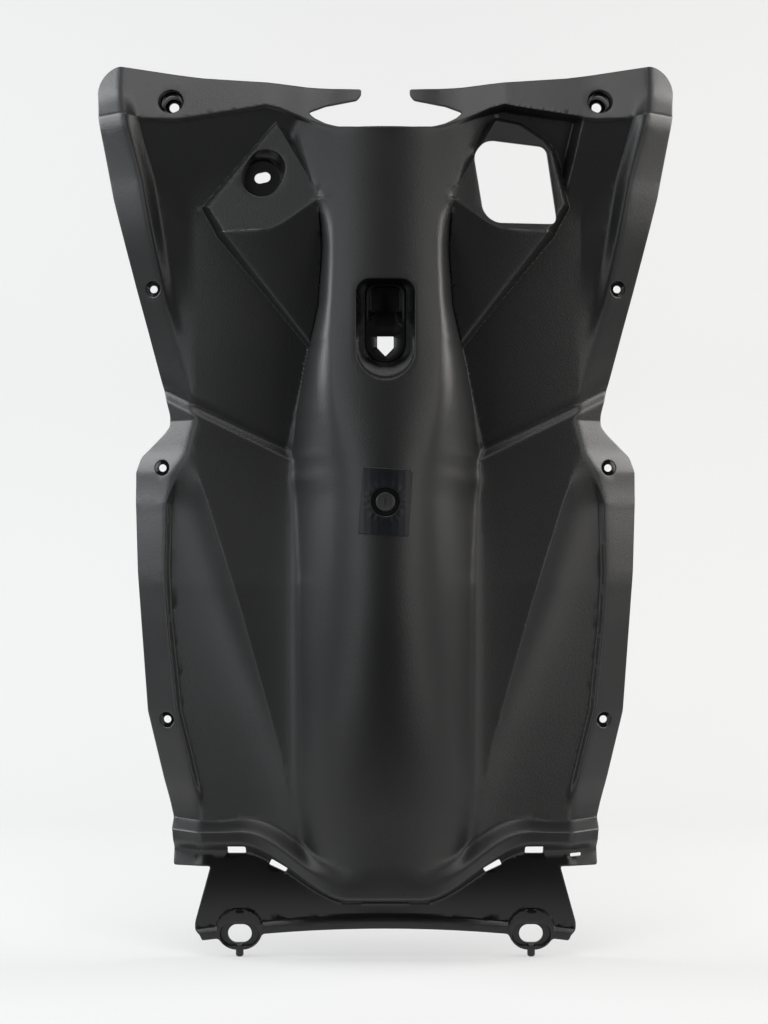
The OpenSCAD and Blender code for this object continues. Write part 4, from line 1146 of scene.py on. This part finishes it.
def film_tree():
    """Geometry Nodes tree of the film: a closed band of quads from its round hole to its straight edges."""
    sizes = (("Width", 0.035), ("Height", 0.046), ("Turn", 0.061), ("Centre Height", PLUG_Z * MM),
             ("Hole Radius", 0.0103), ("Thickness", 0.0004), ("Gap", 0.0002), ("Wrinkle Height", 0.0003),
             ("Wrinkles", 17.0))
    inputs = [("Moulding", "NodeSocketObject", None), ("Material", "NodeSocketMaterial", None)]
    inputs += [(label, "NodeSocketFloat", size) for label, size in sizes]
    tree = new_tree("Film on the crown", "GeometryNodeTree", inputs, [("Geometry", "NodeSocketGeometry")])
    enter = tree.nodes.new("NodeGroupInput").outputs
    leave = tree.nodes.new("NodeGroupOutput")

    def calc(operation, *values):
        """Result of a Math node."""
        return math_node(tree, operation, *values)

    grid = node(tree, "GeometryNodeMeshGrid", {"Size X": 1.0, "Size Y": 1.0,
                                               "Vertices X": 51, "Vertices Y": 241})
    place = node(tree, "GeometryNodeInputPosition").outputs[0]
    split = node(tree, "ShaderNodeSeparateXYZ", {"Vector": place}).outputs
    run = calc("ADD", split["X"], 0.5)
    angle = calc("MULTIPLY_ADD", split["Y"], 2 * math.pi, math.pi)
    outwards = curve_node(tree, run, ((0, 0), (0.48, 1), (0.52, 1), (0.98, 0), (1, 0)))
    upper = curve_node(tree, run, ((0, 1), (0.48, 1), (0.52, 0), (0.98, 0), (1, 1)))

    c, s = calc("COSINE", angle), calc("SINE", angle)
    wide = calc("DIVIDE", calc("ABSOLUTE", c), calc("DIVIDE", enter["Width"], 2.0))
    tall = calc("DIVIDE", calc("ABSOLUTE", s), calc("DIVIDE", enter["Height"], 2.0))
    edge = calc("DIVIDE", 1.0, calc("MAXIMUM", wide, tall))
    radius = blend_value(tree, outwards, enter["Hole Radius"], edge)
    flat = joined(tree, calc("MULTIPLY", c, radius), None, calc("MULTIPLY", s, radius))
    turned_flat = node(tree, "ShaderNodeVectorRotate", {"Vector": flat, "Angle": enter["Turn"],
                                                        "Axis": (0.0, 1.0, 0.0)}, rotation_type="AXIS_ANGLE")
    askew = node(tree, "ShaderNodeSeparateXYZ", {"Vector": turned_flat.outputs[0]}).outputs
    height = calc("ADD", askew["Z"], enter["Centre Height"])

    source = joined(tree, askew["X"], -0.3, height)
    target = node(tree, "GeometryNodeObjectInfo", {"Object": enter["Moulding"]}).outputs["Geometry"]
    ray = node(tree, "GeometryNodeRaycast", {"Target Geometry": target, "Source Position": source,
                                             "Ray Direction": (0.0, 1.0, 0.0), "Ray Length": 1.0})
    skin = node(tree, "ShaderNodeSeparateXYZ", {"Vector": ray.outputs["Hit Position"]}).outputs["Y"]
    noise = node(tree, "ShaderNodeTexNoise", {"Vector": source, "Scale": 160.0, "Detail": 2.0}).outputs[0]
    wave = calc("SINE", calc("ADD", calc("MULTIPLY", angle, enter["Wrinkles"]), calc("MULTIPLY", noise, 9.0)))
    away = calc("DIVIDE", calc("SUBTRACT", radius, 0.0125), 0.0022)
    near = calc("EXPONENT", calc("MULTIPLY", calc("MULTIPLY", away, away), -1.0))
    ripple = calc("MULTIPLY", calc("MULTIPLY_ADD", wave, 0.5, 0.5), near)
    ripple = calc("ADD", ripple, calc("MULTIPLY", noise, 0.35))
    lift = calc("MULTIPLY_ADD", upper, enter["Thickness"], enter["Gap"])
    lift = calc("ADD", lift, calc("MULTIPLY", ripple, enter["Wrinkle Height"]))
    there = joined(tree, askew["X"], calc("SUBTRACT", skin, lift), height)

    result = grid.outputs["Mesh"]
    for kind, inputs in (("GeometryNodeSetPosition", {"Position": there}),
                         ("GeometryNodeMergeByDistance", {"Distance": 0.000002}),
                         ("GeometryNodeRealizeInstances", {}),
                         ("GeometryNodeSetMaterial", {"Material": enter["Material"]})):
        result = node(tree, kind, {"Geometry": result, **inputs}).outputs[0]
    tree.links.new(result, leave.inputs[0])
    return tree


def built_by_nodes(context, name, tree, values):
    """Runs a Geometry Nodes tree once and returns its result as a plain mesh."""
    holder = bpy.data.objects.new(name, bpy.data.meshes.new(name))
    context.scene.collection.objects.link(holder)
    modifier = holder.modifiers.new(name, "NODES")
    modifier.node_group = tree
    sockets = {item.name: item.identifier for item in tree.interface.items_tree if item.in_out == "INPUT"}
    for key, value in values.items():
        modifier[sockets[key]] = value
    context.view_layer.update()
    done = holder.evaluated_get(context.evaluated_depsgraph_get())
    mesh = bpy.data.meshes.new_from_object(done)
    bpy.data.objects.remove(holder)
    return mesh


def plug_mesh(settings):
    """Round head with a rounded edge and a driver slot, over a shank with a narrowed end."""
    head_r, thick, count = settings.head_radius / MM, settings.head_thickness / MM, PLUG_COUNT
    seat = spot(stand, 0, PLUG_Z) - thick
    sheet = Sheet()
    steps = [(0, -0.75), (-0.12, -0.35), (-0.4, -0.1), (-0.9, 0), (-1.5, 0), (-1.75, -0.3), (-2.3, -0.3)]
    sheet.well([flat_ring(circle(0, 0, head_r + inwards, count), thick + drop) for inwards, drop in steps])
    slot = rounded_box(0, 0, 1.3, 5.2, 0.3, spacing=0.4)
    for outwards, drop in ((0.12, 0.3), (0, 0.42), (-0.08, 0.95)):
        sheet.ring(*flat_ring(grown(slot, outwards), thick - drop))
    flat, level, tris, places = sheet.triangles()
    verts = [(x, ORIGIN_D - seat - d, z + PLUG_Z) for (x, z), d in zip(flat, level)]
    faces = [tuple(t) for t in tris.tolist()]
    last = [places[i] for i in range(count)]
    for r, d in ((head_r, 0.25), (head_r - 0.25, 0), (3.8, 0), (3.8, -8.5), (2.3, -11.5)):
        now = list(range(len(verts), len(verts) + count))
        verts += [(x, ORIGIN_D - seat - d, z + PLUG_Z) for x, z in circle(0, 0, r, count)]
        for i in range(count):
            j = (i + 1) % count
            faces.append((last[i], now[i], now[j], last[j]))
        last = now
    faces.append(tuple(reversed(last)))
    return smooth_mesh("plug", [tuple(c * MM for c in v) for v in verts], faces, 40)


# Settings


def length(name, description, default):
    """Length property in metres."""
    return FloatProperty(name=name, description=description, default=default, min=0.0, precision=5,
                         unit="LENGTH")


def fraction(name, description, default):
    """Number property from 0 to 1."""
    return FloatProperty(name=name, description=description, default=default, min=0.0, max=1.0,
                         subtype="FACTOR")


def bright(name, description, default):
    """Brightness property."""
    return FloatProperty(name=name, description=description, default=default, min=0.0)


def colour(name, description, default):
    """Colour property."""
    return FloatVectorProperty(name=name, description=description, default=default, size=3, min=0.0, max=1.0,
                               subtype="COLOR")


class MouldingSettings(bpy.types.PropertyGroup):
    """Sizes and finish of the moulding."""
    wall: length("Wall", "Thickness of the moulded wall", 0.0025)
    edge_round: length("Edge Rounding", "Rounding of the outer edges", 0.0009)
    pocket_depth: length("Pocket Depth", "Depth of the hook pocket's floor", 0.025)
    pocket_end_drop: length("Pocket End Drop", "Extra depth of the hook pocket's upper end", 0.008)
    lock_depth: length("Lock Cup Depth", "Depth of the lock cup", 0.009)
    colour: colour("Colour", "Colour of the black plastic", (0.011, 0.011, 0.0115))
    roughness: fraction("Roughness", "Roughness of the grained skin", 0.42)
    grain_scale: FloatProperty(name="Grain", description="Pebbles of the grain in one metre",
                               default=900.0, min=1.0)
    grain_depth: length("Grain Depth", "Height of the grain", 0.00008)
    scuffs: fraction("Scuffs", "Share of rubbed marks that show", 0.5)


class FilmSettings(bpy.types.PropertyGroup):
    """Sizes and finish of the stuck-on film."""
    width: length("Width", "Width of the film", 0.035)
    height: length("Height", "Height of the film", 0.046)
    thickness: length("Thickness", "Thickness of the film", 0.0004)
    turn: FloatProperty(name="Turn", description="How far the film lies askew", default=math.radians(3.5),
                        subtype="ANGLE")
    wrinkles: IntProperty(name="Wrinkles", description="Wrinkles round the plug's seat", default=17, min=0)
    wrinkle_height: length("Wrinkle Height", "Height of the wrinkles", 0.00015)
    colour: colour("Colour", "Colour of the film", (0.007, 0.008, 0.011))


class PlugSettings(bpy.types.PropertyGroup):
    """Sizes and finish of the push-in plug."""
    head_radius: length("Head Radius", "Radius of the plug's head", 0.0067)
    head_thickness: length("Head Thickness", "Thickness of the plug's head", 0.002)
    colour: colour("Colour", "Colour of the plug", (0.03, 0.03, 0.031))


class StudioSettings(bpy.types.PropertyGroup):
    """Lights, floor and backdrop."""
    edge_light: bright("Edge Lights", "Brightness of the boxes beside the panel", 8.0)
    side_light: bright("Side Lights", "Brightness of the boxes at the front's sides", 3.0)
    top_light: bright("Top Light", "Brightness of the box overhead", 4.0)
    fill_light: bright("Fill Light", "Brightness of the weak box at the front", 0.4)
    room: bright("Room", "Brightness of the room", 0.05)
    floor_colour: colour("Floor Colour", "Colour of the floor and backdrop", (0.4, 0.4, 0.4))


class LegShieldSettings(bpy.types.PropertyGroup):
    """Settings of the whole part."""
    moulding: PointerProperty(type=MouldingSettings, name="Moulding", description="The moulded panel")
    film: PointerProperty(type=FilmSettings, name="Film", description="The stuck-on film")
    plug: PointerProperty(type=PlugSettings, name="Plug", description="The push-in plug")
    studio: PointerProperty(type=StudioSettings, name="Studio", description="Lights, floor and camera")


# Studio, in metres

PANEL_MIDDLE, CAMERA_PLACE = (0.0, 0.0, 0.33), (-0.001, -1.389, 0.301)
SENSOR, VIEW_DISTANCE, VIEW_HEIGHT = 36.0, 1.4, 0.73728

# Operators


class LEGSHIELD_OT_moulding(bpy.types.Operator):
    """Build the moulded panel with its cups, slots, pocket and bolt seats"""
    bl_idname = "leg_shield.moulding"
    bl_label = "Moulding"

    def execute(self, context):
        settings = context.scene.leg_shield.moulding
        mesh, material = shield_mesh(settings), moulding_material(settings)
        finish_piece(context, "moulding", mesh, material, "leg_shield")
        return {"FINISHED"}


class LEGSHIELD_OT_film(bpy.types.Operator):
    """Lay the dark film on the crown, wrinkled round the plug's seat"""
    bl_idname = "leg_shield.film"
    bl_label = "Film"

    def execute(self, context):
        settings = context.scene.leg_shield.film
        material = film_material(settings)
        mesh = built_by_nodes(context, "film sheet", film_tree(), {
            "Moulding": bpy.data.objects["moulding"], "Material": material, "Width": settings.width,
            "Height": settings.height, "Turn": settings.turn, "Thickness": settings.thickness,
            "Wrinkle Height": settings.wrinkle_height, "Wrinkles": float(settings.wrinkles),
        })
        mesh.shade_smooth()
        finish_piece(context, "film", mesh, material, "film_patch")
        return {"FINISHED"}


class LEGSHIELD_OT_plug(bpy.types.Operator):
    """Push the slotted plug into its seat"""
    bl_idname = "leg_shield.plug"
    bl_label = "Plug"

    def execute(self, context):
        settings = context.scene.leg_shield.plug
        mesh, material = plug_mesh(settings), plug_material(settings)
        finish_piece(context, "plug", mesh, material, "push_plug")
        return {"FINISHED"}


def stage_material(settings):
    """Pale floor and backdrop that keep the shadow and show bright to the camera."""
    material = bpy.data.materials.new("backdrop")
    material.use_nodes = True
    tree = material.node_tree
    tree.nodes.remove(tree.nodes["Principled BSDF"])
    out = tree.nodes["Material Output"]
    matt = node(tree, "ShaderNodeBsdfDiffuse", {"Color": tuple(settings.floor_colour) + (1.0,)})
    path = tree.nodes.new("ShaderNodeLightPath").outputs
    seen = math_node(tree, "MAXIMUM", path["Is Camera Ray"],
                     math_node(tree, "MAXIMUM", path["Is Glossy Ray"], path["Is Transmission Ray"]))
    glow = node(tree, "ShaderNodeEmission", {"Color": (1.0, 1.0, 1.0, 1.0),
                                             "Strength": math_node(tree, "MULTIPLY", seen, 0.41)})
    both = tree.nodes.new("ShaderNodeAddShader")
    tree.links.new(matt.outputs[0], both.inputs[0])
    tree.links.new(glow.outputs[0], both.inputs[1])
    tree.links.new(both.outputs[0], out.inputs["Surface"])
    return material


def area_light(context, name, place, aim, size, radiance, tint):
    """Soft box of a given brightness that faces a point."""
    data = bpy.data.lights.new(name, "AREA")
    data.shape = "RECTANGLE"
    data.size, data.size_y = size
    data.energy = radiance * math.pi * size[0] * size[1]
    data.color = tint
    light = bpy.data.objects.new(name, data)
    light.location = place
    light.rotation_euler = (Vector(aim) - Vector(place)).to_track_quat("-Z", "Y").to_euler()
    context.scene.collection.objects.link(light)


class LEGSHIELD_OT_studio(bpy.types.Operator):
    """Set the floor, the backdrop, the lights and the camera"""
    bl_idname = "leg_shield.studio"
    bl_label = "Studio"

    def execute(self, context):
        settings = context.scene.leg_shield.studio
        scene = context.scene
        floor = CAD_BOX[0][2]
        radius, back, half, top, near = 0.5, 1.1, 0.95, 1.9, -0.21
        profile = [(near, floor), (back - radius, floor)]
        profile += [(back - radius + radius * math.sin(a), floor + radius - radius * math.cos(a))
                    for a in np.linspace(0, math.pi / 2, 24)[1:]]
        profile.append((back, top))
        verts = [(x, y, z) for y, z in profile for x in (-half, half)]
        faces = [(2 * i, 2 * i + 1, 2 * i + 3, 2 * i + 2) for i in range(len(profile) - 1)]
        mesh = bpy.data.meshes.new("backdrop")
        mesh.from_pydata(verts, [], faces)
        mesh.shade_smooth()
        mesh.materials.append(stage_material(settings))
        sweep = bpy.data.objects.new("backdrop", mesh)
        scene.collection.objects.link(sweep)

        white = (1.0, 1.0, 1.0)
        boxes = []
        for side, tint in ((-1, (0.95, 0.98, 1.0)), (1, (1.0, 0.98, 0.95))):
            boxes += [(f"edge box {side}", (side * 1.3, 0.15, 0.9), (0.9, 0.9), settings.edge_light, tint),
                      (f"side box {side}", (side * 1.2, -1.3, 0.5), (0.6, 1.5), settings.side_light, tint)]
        boxes += [("top box", (-0.1, -0.5, 1.9), (1.4, 0.7), settings.top_light, white),
                  ("fill", (-0.9, -1.9, 1.2), (1.2, 1.2), settings.fill_light, white)]
        for name, place, size, radiance, tint in boxes:
            area_light(context, name, place, PANEL_MIDDLE, size, radiance, tint)

        world = bpy.data.worlds.new("room")
        scene.world = world
        world.use_nodes = True
        shade = world.node_tree.nodes["Background"]
        shade.inputs["Color"].default_value = (1.0, 1.0, 1.0, 1.0)
        seen = world.node_tree.nodes.new("ShaderNodeLightPath").outputs["Is Camera Ray"]
        strength = blend_value(world.node_tree, seen, settings.room, 0.9)
        world.node_tree.links.new(strength, shade.inputs["Strength"])

        data = bpy.data.cameras.new("camera")
        data.sensor_fit = "VERTICAL"
        data.sensor_height = SENSOR
        data.lens = SENSOR * VIEW_DISTANCE / VIEW_HEIGHT
        camera = bpy.data.objects.new("camera", data)
        camera.location = CAMERA_PLACE
        camera.rotation_euler = (math.radians(90), 0.0, 0.0)
        scene.collection.objects.link(camera)
        scene.camera = camera
        scene.view_settings.view_transform = "Standard"
        return {"FINISHED"}


class LEGSHIELD_PT_panel(bpy.types.Panel):
    """Sizes, colours and build steps of the leg shield"""
    bl_idname = "LEGSHIELD_PT_panel"
    bl_label = "Leg Shield"
    bl_space_type = "VIEW_3D"
    bl_region_type = "UI"
    bl_category = "Leg Shield"

    def draw(self, context):
        settings = context.scene.leg_shield
        for name, kind, operator in (("moulding", MouldingSettings, "leg_shield.moulding"),
                                     ("film", FilmSettings, "leg_shield.film"),
                                     ("plug", PlugSettings, "leg_shield.plug"),
                                     ("studio", StudioSettings, "leg_shield.studio")):
            box = self.layout.box()
            for key in kind.__annotations__:
                box.prop(getattr(settings, name), key)
            box.operator(operator)


CLASSES = (MouldingSettings, FilmSettings, PlugSettings, StudioSettings, LegShieldSettings,
           LEGSHIELD_OT_moulding, LEGSHIELD_OT_film, LEGSHIELD_OT_plug, LEGSHIELD_OT_studio,
           LEGSHIELD_PT_panel)


def register():
    """Register the classes and the settings."""
    for made in CLASSES:
        bpy.utils.register_class(made)
    bpy.types.Scene.leg_shield = PointerProperty(type=LegShieldSettings)


def unregister():
    """Remove the settings and the classes."""
    del bpy.types.Scene.leg_shield
    for made in reversed(CLASSES):
        bpy.utils.unregister_class(made)


def main():
    """Build every piece in order."""
    register()
    bpy.ops.leg_shield.moulding()
    bpy.ops.leg_shield.film()
    bpy.ops.leg_shield.plug()
    bpy.ops.leg_shield.studio()


if __name__ == "__main__":
    main()
